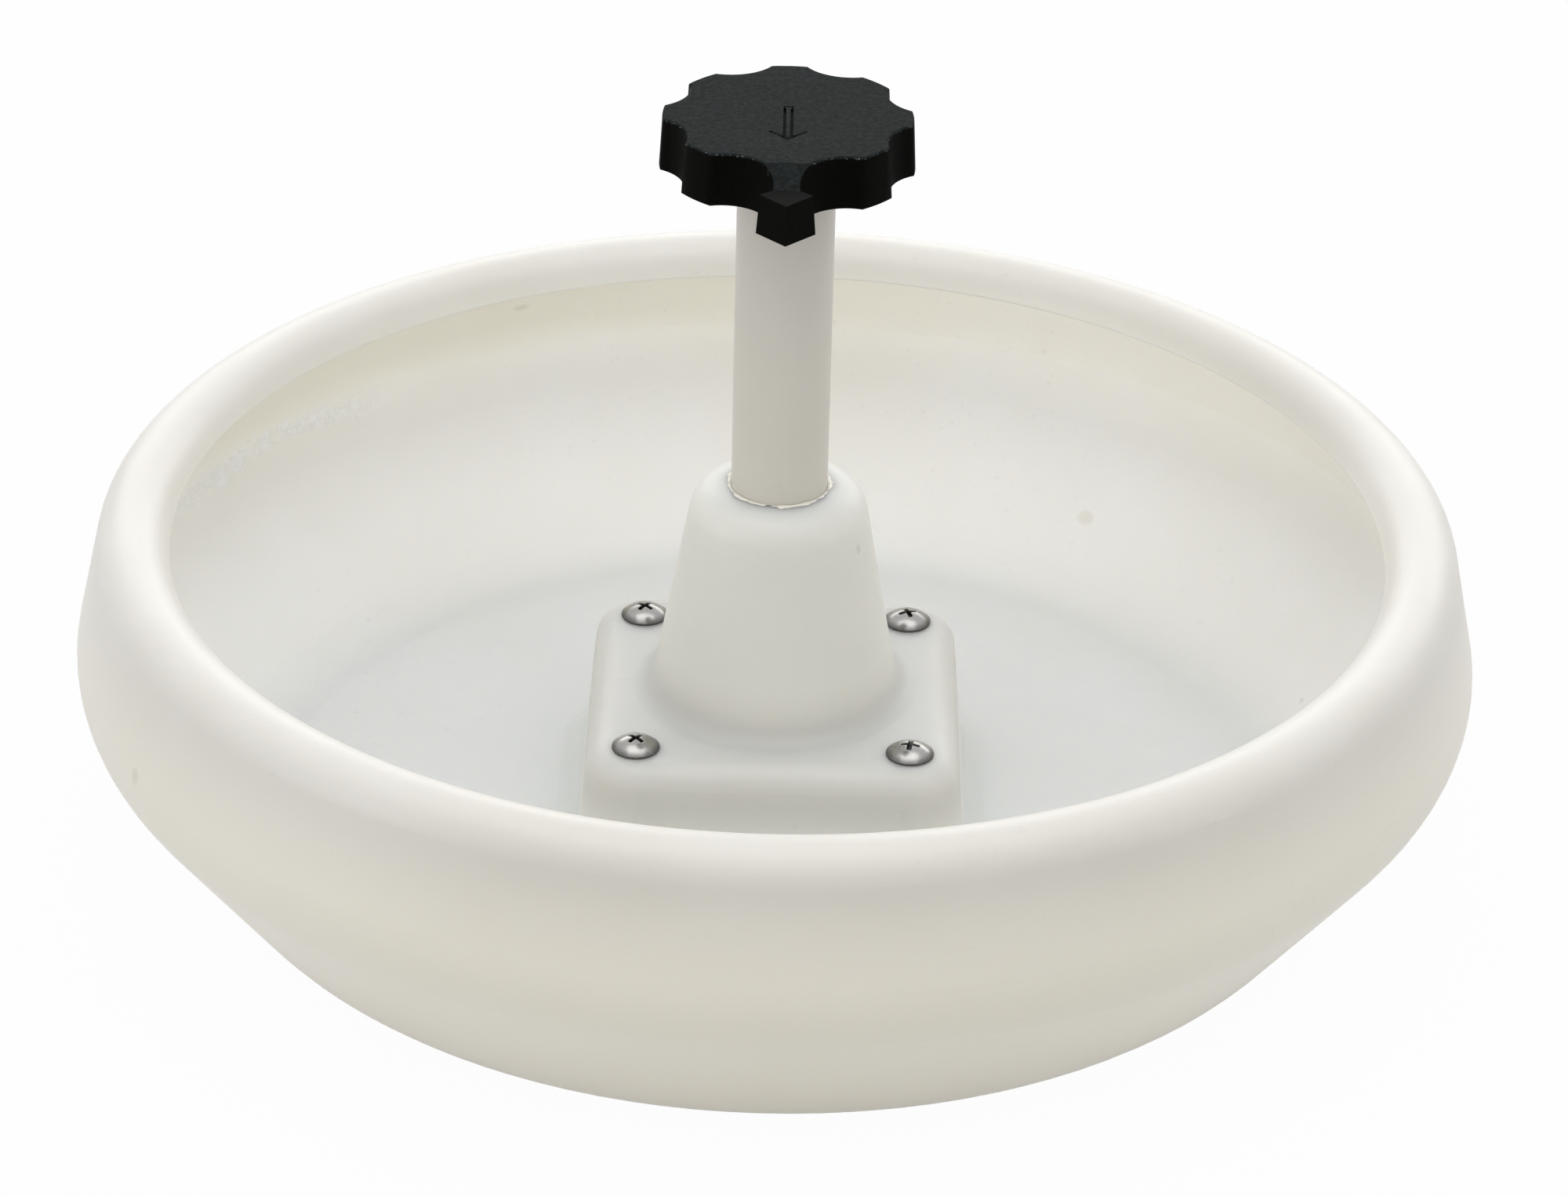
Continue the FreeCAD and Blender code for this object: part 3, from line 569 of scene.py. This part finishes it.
@dataclass(frozen=True)
class KnobPlastic:
    """Black moulded plastic with a fine matt grain, a top painted greyer as if lit from above, and
    specks on its edges, partly wear and partly painted glints.

    Spans named for a lean are of the surface's normal, from level at 1 to upright at 0.
    """

    top_mm: float
    name: str = "knob_plastic"
    black: Colour = (0.0024, 0.0027, 0.0021)
    # The top's grey is painted light, as if the top were lit from above.
    grey: Colour = (0.019, 0.0235, 0.0235)
    # Edge specks: partly wear, partly painted glints.
    wear_and_glint: Colour = (0.2, 0.21, 0.22)
    top_lean: Span = (0.35, 0.8)
    top_skin_mm: Span = (0.4, 0.15)
    slope_lean: Span = (0.35, 0.7)
    slope_level: Span = (0.997, 0.985)
    edge_lean: Span = (0.15, 0.45)
    edge_level: Span = (0.97, 0.75)
    speck_tint: float = 0.7
    roughness: float = 0.6
    grain_roughness: float = 0.3
    grain_mm: float = 0.03
    mottle_mm: float = 0.06
    ior: float = 1.3
    specular: float = 0.06

    def make(self) -> bpy.types.Material:
        """Make the material.

        Returns:
            The material.
        """
        mix = MaterialRecipe(self.name)
        lean = mix.facing_up
        grain = mix.noise(cells=1500.0, detail=3.0, roughness=0.6)
        mottle = mix.noise(cells=800.0, detail=5.0, roughness=0.75)
        skin = ((self.top_mm - depth) * MM for depth in self.top_skin_mm)
        # Painted light: faces that look up, the top and the pointer's slope, are painted greyer as
        # if lit from above.
        top = lean.step(*self.top_lean) * mix.z.step(*skin)
        top = top.or_more(lean.step(*self.slope_lean) * lean.step(*self.slope_level))
        greyed = top * (mottle.step(0.3, 0.72) * 0.75 + 0.25)
        colour = mix.blend(greyed, self.black, self.grey)
        # Specks on the edges: partly wear, partly painted glints.
        edge = lean.step(*self.edge_lean) * lean.step(*self.edge_level)
        specks = edge * mix.noise(cells=1100.0, detail=3.0, roughness=0.7).step(0.56, 0.68)
        return mix.finish({
            "Base Color": mix.blend(specks * self.speck_tint, colour, self.wear_and_glint),
            "Roughness": self.roughness + grain.swing(self.grain_roughness),
            "Normal": mix.bump(mottle, self.mottle_mm, mix.bump(grain, self.grain_mm)),
            "IOR": self.ior, "Specular IOR Level": self.specular,
        })


@dataclass(frozen=True)
class Metal:
    """Metal with a fine grain, and with zinc's spangle or painted shade where they are given."""

    name: str
    bright: Colour
    dark: Colour
    roughness: float
    spangle_cells: float = 0.0
    # The dark colour that painted shade turns the metal to, where a mesh carries its share.
    shade_colour: Colour | None = None
    grain_mm: float = 0.006
    grain_roughness: float = 0.1
    cloud_roughness: float = 0.14
    first_share: float = 0.6

    def make(self) -> bpy.types.Material:
        """Make the material.

        Returns:
            The material.
        """
        mix = MaterialRecipe(self.name)
        second_share = 1.0 - self.first_share
        grain = mix.noise(cells=900.0, detail=3.0, roughness=0.6)
        cloud = mix.noise(cells=120.0, detail=3.0)
        tone = cloud * self.first_share + grain * second_share
        if self.spangle_cells:
            cells = mix.node("ShaderNodeTexVoronoi", {},
                             {"Vector": mix.place, "Scale": self.spangle_cells})
            shine, *_ = mix.parts(mix.wire(cells, "Color"))
            tone = tone * self.first_share + shine * second_share
        colour = mix.blend(tone, self.dark, self.bright)
        # Painted shade: the colour darkens where the mesh carries a share of it.
        if self.shade_colour:
            colour = mix.blend(mix.painted_shade(), colour, self.shade_colour)
        rough = (self.roughness + cloud.swing(self.cloud_roughness)
                 + grain.swing(self.grain_roughness))
        return mix.finish({"Base Color": colour, "Metallic": 1.0, "Roughness": rough,
                           "Normal": mix.bump(grain, self.grain_mm)})


@dataclass(frozen=True)
class BlackNylon:
    """Turned black nylon."""

    name: str = "black_nylon"
    colour: Colour = (0.028, 0.028, 0.03)
    pale: Colour = (0.05, 0.05, 0.052)
    roughness: float = 0.45
    ring_roughness: float = 0.2
    ring_mm: float = 0.02

    def make(self) -> bpy.types.Material:
        """Make the material.

        Returns:
            The material.
        """
        mix = MaterialRecipe(self.name)
        rings = mix.noise(cells=1500.0, stretch=(0.02, 0.02, 1.0))
        colour = mix.blend(mix.noise(cells=200.0, detail=3.0), self.colour, self.pale)
        return mix.finish({
            "Base Color": colour, "Roughness": self.roughness + rings.swing(self.ring_roughness),
            "Normal": mix.bump(rings, self.ring_mm)})


class Paintbox:
    """Every finish, made once: one for each slot, and two more for small pieces."""

    def __init__(self) -> None:
        """Make the materials."""
        recipes = {
            Slot.POLYETHYLENE: MilkyPolyethylene(),
            Slot.PIPE: PipePlastic(),
            Slot.KNOB: KnobPlastic(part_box("knob")[1].z / MM),
            Slot.NYLON: BlackNylon(),
            Slot.STAINLESS: Metal("stainless", (0.66, 0.65, 0.63), (0.5, 0.49, 0.47), 0.24),
            Slot.ZINC: Metal("zinc_plate", (0.7, 0.71, 0.72), (0.5, 0.52, 0.54), 0.38,
                             spangle_cells=160.0),
            Slot.SPRING: Metal("spring_wire", (0.5, 0.5, 0.49), (0.3, 0.3, 0.3), 0.3),
            Slot.BRASS: Metal("turned_brass", (0.8, 0.6, 0.28), (0.62, 0.44, 0.18), 0.3),
        }
        self.of = {slot: recipe.make() for slot, recipe in recipes.items()}
        self.torn_edge = MilkyPolyethylene("torn_edge", subsurface_mm=0.5).make()
        # The screw steel is a darker copy of the stainless, painted shade, and darkens further where
        # the heads carry painted shade.
        self.screw_steel = Metal("screw_steel", (0.46, 0.455, 0.44), (0.3, 0.295, 0.285), 0.27,
                                 shade_colour=(0.03, 0.03, 0.03)).make()

    def dress(self, node: str, slot: Slot) -> None:
        """Give a CAD node its slot's finish."""
        coat(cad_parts[node], self.of[slot])
        log.info("%s takes %s", node, slot.value)


def coat(thing: bpy.types.Object, finish: bpy.types.Material) -> None:
    """Give an object one finish all over."""
    thing.data.materials.clear()
    thing.data.materials.append(finish)


def put(name: str, data: bpy.types.ID) -> bpy.types.Object:
    """Make an object from a mesh, lamp or camera and link it to the scene.

    Args:
        name: the object's name.
        data: its mesh, lamp or camera.

    Returns:
        The object, at the origin.
    """
    made = bpy.data.objects.new(name, data)
    bpy.context.scene.collection.objects.link(made)
    return made


def merge_doubles(mesh: bpy.types.Mesh, turn_faces: bool) -> None:
    """Merge the points of a mesh that lie on one another.

    Args:
        mesh: the mesh, which is changed.
        turn_faces: also turns every face outwards.
    """
    shaped = bmesh.new()
    shaped.from_mesh(mesh)
    bmesh.ops.remove_doubles(shaped, verts=shaped.verts, dist=MERGE_DISTANCE)
    if turn_faces:
        bmesh.ops.recalc_face_normals(shaped, faces=shaped.faces)
    shaped.to_mesh(mesh)
    shaped.free()


def surface(name: str, points: np.ndarray, round_columns: bool = True,
            painted_shade: np.ndarray | None = None) -> bpy.types.Object:
    """Turn a grid of points into a smooth mesh.

    Each row of the grid is joined to the next by quads. Where a row has shrunk to one point, the
    doubles are merged, so poles are closed, and the faces are turned outwards afterwards.

    Args:
        name: the object's name.
        points: rows x columns x 3, in millimetres.
        round_columns: joins the last column to the first.
        painted_shade: rows x columns, how much painted shade each point takes, from 0 to 1.

    Returns:
        The object, at the origin, linked to the scene.
    """
    rows, columns, _ = points.shape
    index = np.arange(rows * columns).reshape(rows, columns)
    after = np.roll(index, -1, axis=1)
    last = columns if round_columns else columns - 1
    quads = np.stack([index[:-1, :last], after[:-1, :last], after[1:, :last], index[1:, :last]],
                     axis=-1)
    mesh = bpy.data.meshes.new(name)
    mesh.from_pydata((points.reshape(-1, 3) * MM).tolist(), [], quads.reshape(-1, 4).tolist())
    if painted_shade is not None:
        layer = mesh.attributes.new("painted_shade", "FLOAT", "POINT")
        layer.data.foreach_set("value", painted_shade.ravel())
    merge_doubles(mesh, turn_faces=True)
    mesh.shade_smooth()
    return put(name, mesh)


def smooth_rise(value: np.ndarray, low: float, high: float) -> np.ndarray:
    """Give 0 below low, 1 above high and a smooth cubic rise between."""
    share = np.clip((value - low) / (high - low), 0.0, 1.0)
    return share * share * (3 - 2 * share)


def round_axis(angle: np.ndarray, radius: Union[float, np.ndarray],
               height: Union[float, np.ndarray]) -> np.ndarray:
    """Give points (radius cos angle, radius sin angle, height) about the Z axis."""
    return np.stack(np.broadcast_arrays(radius * np.cos(angle), radius * np.sin(angle), height),
                    axis=-1)


def bead(path: np.ndarray, sideways: np.ndarray, radius: np.ndarray, sides: int) -> np.ndarray:
    """Carry a circle along a path: centre + radius (cos a sideways + sin a up).

    Args:
        path: the circle's centres, one for each row.
        sideways: the level direction of each circle's first axis; the other is straight up.
        radius: each circle's radius.
        sides: the number of points on a circle.

    Returns:
        Rows x sides x 3 points.
    """
    angle = np.linspace(0.0, FULL_TURN, sides, endpoint=False)[None, :, None]
    ring = np.cos(angle) * sideways[:, None, :] + np.sin(angle) * UP
    return path[:, None, :] + radius[:, None, None] * ring


def settle(thing: bpy.types.Object, body: Body, slot: Slot, finish: bpy.types.Material,
           *replaced: str) -> None:
    """Give a new piece its finish and its place among the bodies.

    Args:
        thing: the piece.
        body: the body that it moves with.
        slot: not used.
        finish: its material.
        replaced: the CAD nodes that it stands for.
    """
    coat(thing, finish)
    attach(thing, body.value)
    if replaced:
        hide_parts(*replaced)
    log.info("%s on %s, %d faces", thing.name, body.value, len(thing.data.polygons))


@dataclass
class Trough:
    """The moulded pan, with the cut edge of its neck; in millimetres."""

    tube_radius: float = 11.1
    tube_gap: float = 0.02
    neck_top: float = 90.35
    burr: float = 0.42
    burr_width: float = 1.7
    burr_sides: int = 10
    columns: int = 360
    wander_height: float = 0.08
    fleck_size: float = 0.28
    fleck_angle: float = -1.54

    def build(self, paints: Paintbox) -> None:
        """Dress the moulding and add the ragged edge round the post."""
        paints.dress("feed_pan", Slot.POLYETHYLENE)
        self.add_ragged_edge(paints)

    def add_ragged_edge(self, paints: Paintbox) -> None:
        """Add the torn edge left by the drill.

        The edge is a flattened bead carried round a circle, wide enough to close the gap round the
        post. Its size and height wander as a sum of sines of the angle, and it swells into a small
        fleck, the sum of two bell curves, at one angle.

        Args:
            paints: the finishes.
        """
        turn = np.linspace(0.0, FULL_TURN, self.columns, endpoint=False)
        wander = (0.5 * np.sin(5 * turn + 0.7) + 0.3 * np.sin(13 * turn + 2.1)
                  + 0.25 * np.sin(29 * turn))
        past = np.angle(np.exp(1j * (turn - self.fleck_angle)))
        fleck = np.exp(-(past / 0.05) ** 2) + 0.5 * np.exp(-((past - 0.16) / 0.07) ** 2)
        size = self.burr * (0.75 + 0.3 * wander) + self.fleck_size * fleck
        reach = self.tube_radius + self.tube_gap + size * self.burr_width
        middle = round_axis(turn, reach, self.neck_top + self.wander_height * wander)
        out = round_axis(turn, 1.0, 0.0)
        points = bead(middle, out * self.burr_width, size, self.burr_sides)
        edge = surface("neck_cut_edge", np.concatenate([points, points[:1]]))
        settle(edge, Body.PAN, Slot.POLYETHYLENE, paints.torn_edge)


@dataclass
class FlangeScrew:
    """A truss-head screw with a cross recess and a rolled thread; in millimetres."""

    number: int
    columns: int = 160
    recess_rows: int = 34
    crown_rows: int = 14
    head_radius: float = 5.55
    head_height: float = 2.8
    edge_height: float = 0.45
    edge_rounding: float = 0.15
    recess_reach: float = 2.35
    recess_margins: Span = (0.3, 0.42)
    recess_depth: float = 1.75
    recess_slope: float = 0.35
    recess_taper: float = 0.55
    wing_half: float = 0.5
    wing_wall: float = 0.1
    # Shares of painted shade: in the recess, round the head's edge and under the head.
    recess_shade: float = 0.95
    edge_shade: float = 0.7
    edge_shade_width: float = 1.5
    under_shade: float = 0.75
    shank_radius: float = 2.4
    shank_columns: int = 40
    shank_rows: int = 190
    point_height: float = 0.5
    thread_depth: float = 0.42
    thread_pitch: float = 0.8
    thread_start: Span = (1.0, 1.8)
    first_turn: float = 0.3
    next_turn: float = 0.55

    def wing(self, side: np.ndarray) -> np.ndarray:
        """Give 1 inside one wing of the recess and 0 beside it, from the distance across it."""
        return 1 - smooth_rise(np.abs(side), self.wing_half - self.wing_wall,
                               self.wing_half + self.wing_wall)

    def head(self) -> tuple[np.ndarray, np.ndarray]:
        """Work out the head, from the middle of its top out and under.

        Height over (distance, angle) is a spherical cap standing on a short edge, less the recess.
        The recess is deepest on the axis and rises outwards along two crossed wings; its walls
        are smooth steps across each wing. Painted shade lies in the recess, thinly round the head's
        edge and under the head.

        Returns:
            Rows x columns x 3 points, and rows x columns shares of painted shade.
        """
        angle = np.linspace(0.0, FULL_TURN, self.columns, endpoint=False)
        near, far = (self.recess_reach + margin for margin in self.recess_margins)
        distance = np.concatenate([
            np.linspace(0.0, near, self.recess_rows),
            np.linspace(far, self.head_radius - self.edge_rounding, self.crown_rows)])[:, None]
        rise = self.head_height - self.edge_height
        ball = (self.head_radius ** 2 + rise ** 2) / (2 * rise)
        crown = self.edge_height + np.sqrt(ball ** 2 - distance ** 2) - (ball - rise)
        recess = np.maximum(self.wing(distance * np.sin(angle)),
                            self.wing(distance * np.cos(angle)))
        taper = smooth_rise(distance, self.recess_reach - self.recess_taper, self.recess_reach)
        recess = recess * (1 - taper)
        height = crown - recess * (self.recess_depth - self.recess_slope * distance)
        # Painted shade: darkest in the recess, lighter round the head's edge, and under the head.
        rim = smooth_rise(distance, self.head_radius - self.edge_shade_width, self.head_radius)
        shade_share = np.maximum(recess * self.recess_shade, self.edge_shade * rim)
        under = np.array([(self.head_radius - 0.04, self.edge_height + 0.06),
                          (self.head_radius, self.edge_height - 0.1), (self.head_radius, 0.1),
                          (self.head_radius - 0.1, 0.0), (self.shank_radius, 0.0)])
        points = np.concatenate([round_axis(angle, distance, height),
                                 round_axis(angle, under[:, :1], under[:, 1:])])
        below = np.full((len(under), self.columns), self.under_shade)
        return points, np.concatenate([shade_share, below])

    def shank(self, drop: float) -> np.ndarray:
        """Work out the shank: a radius that dips as the thread winds down, closed at its foot.

        Args:
            drop: the shank's length.

        Returns:
            Rows x columns x 3 points, from the head down.
        """
        angle = np.linspace(0.0, FULL_TURN, self.shank_columns, endpoint=False)
        level = np.linspace(0.0, -drop + self.point_height, self.shank_rows)[:, None]
        phase = (level / self.thread_pitch - angle / FULL_TURN) % 1.0
        groove = np.abs(2 * phase - 1) * smooth_rise(-level, *self.thread_start)
        radius = self.shank_radius - self.thread_depth * groove
        foot = np.array([(self.shank_radius - 0.5, -drop + 0.05),
                         (self.shank_radius - 0.7, -drop), (0.0, -drop)])
        return np.concatenate([round_axis(angle, radius, level),
                               round_axis(angle, foot[:, :1], foot[:, 1:])])

    def build(self, paints: Paintbox) -> None:
        """Make the screw where its CAD node stands.

        Args:
            paints: the finishes.
        """
        node = f"flange_screw_{self.number}"
        low, high = (np.array(corner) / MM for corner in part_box(node))
        seat = high[2] - self.head_height
        middle = np.array([(low[0] + high[0]) / 2, (low[1] + high[1]) / 2, seat])
        turn = self.first_turn + self.next_turn * self.number
        spin = np.array([[math.cos(turn), -math.sin(turn), 0.0],
                         [math.sin(turn), math.cos(turn), 0.0], [0.0, 0.0, 1.0]])
        points, shade_share = self.head()
        head = surface(f"screw_{self.number}", points @ spin.T + middle, painted_shade=shade_share)
        shank = surface("shank", self.shank(seat - low[2]) @ spin.T + middle)
        with bpy.context.temp_override(active_object=head, selected_editable_objects=[head, shank]):
            bpy.ops.object.join()
        settle(head, Body.PAN, Slot.STAINLESS, paints.screw_steel, node)


@dataclass
class LatchSpring:
    """The spring inside the cone, with closed and ground ends; in millimetres."""

    wire: float = 1.6
    sides: int = 14
    rows: int = 620
    coil_radius: float = 10.25
    turns: float = 6.5
    end_turns: float = 1.28
    end_climb: float = 0.22
    seat_share: float = 0.3
    pressed_share: float = 0.25

    def build(self, paints: Paintbox) -> None:
        """Carry a circle along a helix.

        The helix climbs slowly in the end turns and evenly between them, and points beyond either
        seat are brought back to it, which grinds the ends flat.

        Args:
            paints: the finishes.
        """
        low, high = (corner.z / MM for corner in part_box("latch_spring"))
        share = np.linspace(0.0, self.turns, self.rows)
        free = smooth_rise(share, 0.0, self.end_turns)
        free = free * (1 - smooth_rise(share, self.turns - self.end_turns, self.turns))
        climb = np.cumsum(self.end_climb + free)
        climb = (climb - climb[0]) / (climb[-1] - climb[0])
        lift = self.wire * self.seat_share
        level = low + lift + (high - low - 2 * lift) * climb
        turn = share * FULL_TURN
        thick = np.full(self.rows, self.wire / 2)
        thick[[0, -1]] = 0.0
        points = bead(round_axis(turn, self.coil_radius, level), round_axis(turn, 1.0, 0.0),
                      thick, self.sides)
        points[..., 2] = np.clip(points[..., 2], low, high)
        spring = surface("closed_end_spring", points)
        settle(spring, Body.PAN, Slot.SPRING, paints.of[Slot.SPRING], "latch_spring")
        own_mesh(spring)


@dataclass
class KnobArrow:
    """The knob with the arrow that is sunk in its top; in millimetres."""

    PRISM = ((0, 2, 3, 1), (4, 5, 7, 6), (0, 1, 5, 4), (1, 3, 7, 5), (3, 2, 6, 7), (2, 0, 4, 6))

    groove_half: float = 0.35
    foot_half: float = 0.7 / 2.4
    depth: float = 0.7
    overshoot: float = 0.3
    shaft_half: float = 0.8
    shaft_start: float = 4.4
    shaft_end: float = -12.6
    tip: float = -13.3
    barb: Span = (3.9, -9.2)
    sharp_degrees: float = 28.0

    def strips(self) -> np.ndarray:
        """Lay out the arrow's straight grooves: two sides, a tail and two barbs.

        Returns:
            The middle of each groove's ends, as grooves x ends x 2.
        """
        half, start, end = self.shaft_half, self.shaft_start, self.shaft_end
        across, along = self.barb
        return np.array([
            [(-half, start), (-half, end)], [(half, start), (half, end)],
            [(-half, start), (half, start)],
            [(0.0, self.tip), (across, along)], [(0.0, self.tip), (-across, along)]])

    def cutter(self, top: float) -> bpy.types.Object:
        """Make the tapered strips that sink the arrow.

        Each strip is a prism along its line. Its corners are the line's ends, moved half a width
        sideways and half a width past the end, and the half width is less at the foot.

        Args:
            top: the height of the knob's top.

        Returns:
            The strips as one object.
        """
        ends = self.strips()
        along = ends[:, 1] - ends[:, 0]
        along = (along / np.linalg.norm(along, axis=1, keepdims=True))[:, None, None, None, :]
        side = np.stack([-along[..., 1], along[..., 0]], axis=-1)
        shift = np.outer((self.groove_half, self.foot_half), (-1.0, 1.0))
        flat = (ends[:, None, :, None, :] + along * shift[None, :, :, None, None]
                + side * shift[None, :, None, :, None])
        level = np.array([top + self.overshoot, top - self.depth])[None, :, None, None]
        x, y, z = np.broadcast_arrays(flat[..., 0], flat[..., 1], level)
        points = np.stack([x, y, z], axis=-1).reshape(-1, 3)
        corners_each = len(points) // len(ends)
        first = np.arange(len(ends))[:, None, None] * corners_each
        mesh = bpy.data.meshes.new("arrow_cutter")
        mesh.from_pydata((points * MM).tolist(), [],
                         (first + np.array(self.PRISM)).reshape(-1, 4).tolist())
        return put("arrow_cutter", mesh)

    def build(self, paints: Paintbox) -> None:
        """Copy the CAD knob, close its mesh and sink the arrow in its top.

        Args:
            paints: the finishes.
        """
        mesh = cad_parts["knob"].data.copy()
        merge_doubles(mesh, turn_faces=False)
        knob = put("pointer_knob", mesh)
        cutter = self.cutter(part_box("knob")[1].z / MM)
        sink = knob.modifiers.new("arrow", "BOOLEAN")
        sink.operation = "DIFFERENCE"
        sink.solver = "EXACT"
        sink.use_self = True
        sink.object = cutter
        depsgraph = bpy.context.evaluated_depsgraph_get()
        knob.data = bpy.data.meshes.new_from_object(knob.evaluated_get(depsgraph))
        knob.modifiers.clear()
        bpy.data.objects.remove(cutter)
        knob.data.shade_smooth()
        knob.data.set_sharp_from_angle(angle=math.radians(self.sharp_degrees))
        even = knob.modifiers.new("even_shading", "WEIGHTED_NORMAL")
        even.keep_sharp = True
        settle(knob, Body.LATCH, Slot.KNOB, paints.of[Slot.KNOB], "knob")


@dataclass
class Mechanism:
    """The CAD pieces that keep their shape and take a finish."""

    finishes: tuple[tuple[str, Slot], ...] = (
        ("post_tube", Slot.PIPE), ("mount_plate", Slot.ZINC), ("spring_seat", Slot.ZINC),
        ("guide_bush", Slot.NYLON), ("tube_plug", Slot.NYLON), ("thrust_washer", Slot.STAINLESS),
        ("latch_rod", Slot.STAINLESS), ("tee_bar", Slot.STAINLESS), ("clamp_nut", Slot.STAINLESS),
        ("tee_lock_nut", Slot.STAINLESS), ("knob_insert", Slot.BRASS),
    )
    flange_kinds: tuple[str, ...] = ("washer", "nut")

    def build(self, paints: Paintbox) -> None:
        """Dress each piece.

        Args:
            paints: the finishes.
        """
        for node, slot in self.finishes:
            paints.dress(node, slot)
        for number in SCREW_NUMBERS:
            for kind in self.flange_kinds:
                paints.dress(f"flange_{kind}_{number}", Slot.STAINLESS)


@dataclass(frozen=True)
class Lamp:
    """A soft white rectangular lamp that looks at a spot above the pan."""

    name: str
    place: Point
    width: float
    height: float
    power: float
    aim: Point = (0.0, 0.0, 0.06)

    def build(self) -> None:
        """Hang the lamp."""
        data = bpy.data.lights.new(self.name, "AREA")
        data.shape = "RECTANGLE"
        data.size, data.size_y, data.energy = self.width, self.height, self.power
        lamp = put(self.name, data)
        lamp.location = self.place
        away = Vector(self.place) - Vector(self.aim)
        lamp.rotation_euler = away.to_track_quat("Z", "Y").to_euler()


@dataclass
class Studio:
    """Pale floor, white surroundings and soft lamps."""

    floor_half: float = 4.0
    floor_lines: int = 9
    floor_level_mm: float = -0.2
    floor_share: float = 0.97
    paper: Colour = (0.62, 0.62, 0.62)
    pale_paper: Colour = (0.64, 0.64, 0.64)
    horizon: float = 0.26
    zenith: float = 0.92
    zenith_height: float = 0.9
    mirrored: float = 0.75
    lamps: tuple[Lamp, ...] = (
        Lamp("overhead", (0.0, -0.15, 1.4), 1.4, 1.0, 6.0),
        Lamp("left", (-1.6, -0.8, 0.35), 0.6, 0.6, 4.0),
        Lamp("right", (1.6, -0.8, 0.35), 0.6, 0.5, 1.9),
        Lamp("behind", (0.15, 1.6, 0.7), 2.4, 0.6, 11.0),
    )

    def build(self) -> None:
        """Lay the floor, set the world and hang the lamps."""
        bpy.context.scene.view_settings.view_transform = "Standard"
        self.lay_floor()
        self.set_world()
        for lamp in self.lamps:
            lamp.build()

    def lay_floor(self) -> None:
        """Lay a level square floor that the camera sees as nearly white, less the shadow."""
        half = self.floor_half / MM
        line = np.linspace(-half, half, self.floor_lines)
        across, along = np.meshgrid(line, line)
        level = np.full_like(across, self.floor_level_mm)
        floor = surface("floor", np.stack([across, along, level], axis=-1), round_columns=False)
        mix = MaterialRecipe("pale_floor")
        colour = mix.blend(mix.noise(cells=3.0), self.paper, self.pale_paper)
        paper = mix.wire(mix.node("ShaderNodeBsdfDiffuse", {}, {"Color": colour}))
        glow = mix.wire(mix.node("ShaderNodeEmission", {}, {"Color": WHITE, "Strength": 1.0}))
        path = mix.node("ShaderNodeLightPath")
        seen = mix.wire(path, "Is Camera Ray").or_more(mix.wire(path, "Is Glossy Ray"))
        both = mix.node("ShaderNodeMixShader", {},
                        {"Fac": seen * self.floor_share, 1: paper, 2: glow})
        mix.node("ShaderNodeOutputMaterial", {}, {"Surface": mix.wire(both)})
        coat(floor, mix.material)

    def set_world(self) -> None:
        """Light from all round, dim at the horizon, brighter above, and white to the camera."""
        world = bpy.data.worlds.new("studio")
        world.use_nodes = True
        mix = Recipe(world.node_tree)
        _, _, height = mix.parts(mix.wire(mix.node("ShaderNodeTexCoord"), "Generated"))
        rise = height.step(0.0, self.zenith_height)
        sky = self.horizon + (self.zenith - self.horizon) * rise
        path = mix.node("ShaderNodeLightPath")
        seen = mix.wire(path, "Is Camera Ray").or_more(mix.wire(path, "Is Transmission Ray"))
        seen = seen.or_more(mix.wire(path, "Is Glossy Ray") * self.mirrored)
        level = sky + seen * (1.0 - sky)
        back = mix.node("ShaderNodeBackground", {}, {"Color": WHITE, "Strength": level})
        mix.node("ShaderNodeOutputWorld", {}, {"Surface": mix.wire(back)})
        bpy.context.scene.world = world


@dataclass
class Camera:
    """The photograph's viewpoint: metres and degrees, with lens and sensor in millimetres."""

    lens: float = 126.0
    sensor: float = 36.0
    clip: Span = (0.05, 50.0)
    distance: float = 1.2857
    elevation: float = 29.367
    aim_height: float = 0.0442
    roll: float = -1.416
    pitch: float = 0.631
    yaw: float = 0.078

    def build(self) -> None:
        """Set the camera from the turns of its axes."""
        lift, roll, pitch, yaw = (
            math.radians(v) for v in (self.elevation, self.roll, self.pitch, self.yaw))
        forward = Vector((0.0, math.cos(lift), -math.sin(lift)))
        place = -forward * self.distance + Vector((0.0, 0.0, self.aim_height))
        right = Vector((1.0, 0.0, 0.0))
        axes = Matrix((right, right.cross(forward), forward))
        about_up = Matrix(
            ((math.cos(yaw), 0, -math.sin(yaw)), (0, 1, 0), (math.sin(yaw), 0, math.cos(yaw))))
        about_side = Matrix(
            ((1, 0, 0), (0, math.cos(pitch), -math.sin(pitch)),
             (0, math.sin(pitch), math.cos(pitch))))
        about_view = Matrix(
            ((math.cos(roll), -math.sin(roll), 0), (math.sin(roll), math.cos(roll), 0), (0, 0, 1)))
        across, up, away = about_view @ about_side @ about_up @ axes
        data = bpy.data.cameras.new("photo_camera")
        data.sensor_width, data.lens = self.sensor, self.lens
        data.clip_start, data.clip_end = self.clip
        camera = put("photo_camera", data)
        turn = Matrix((across, up, -away)).transposed()
        camera.matrix_world = Matrix.Translation(place) @ turn.to_4x4()
        bpy.context.scene.camera = camera


def main() -> None:
    """Build every sub-assembly in order and log each piece's finish and faces."""
    logging.basicConfig(level=logging.INFO, format="%(message)s")
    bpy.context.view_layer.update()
    Camera().build()
    Studio().build()
    paints = Paintbox()
    Trough().build(paints)
    Mechanism().build(paints)
    for number in SCREW_NUMBERS:
        FlangeScrew(number).build(paints)
    LatchSpring().build(paints)
    KnobArrow().build(paints)


if __name__ == "__main__":
    main()
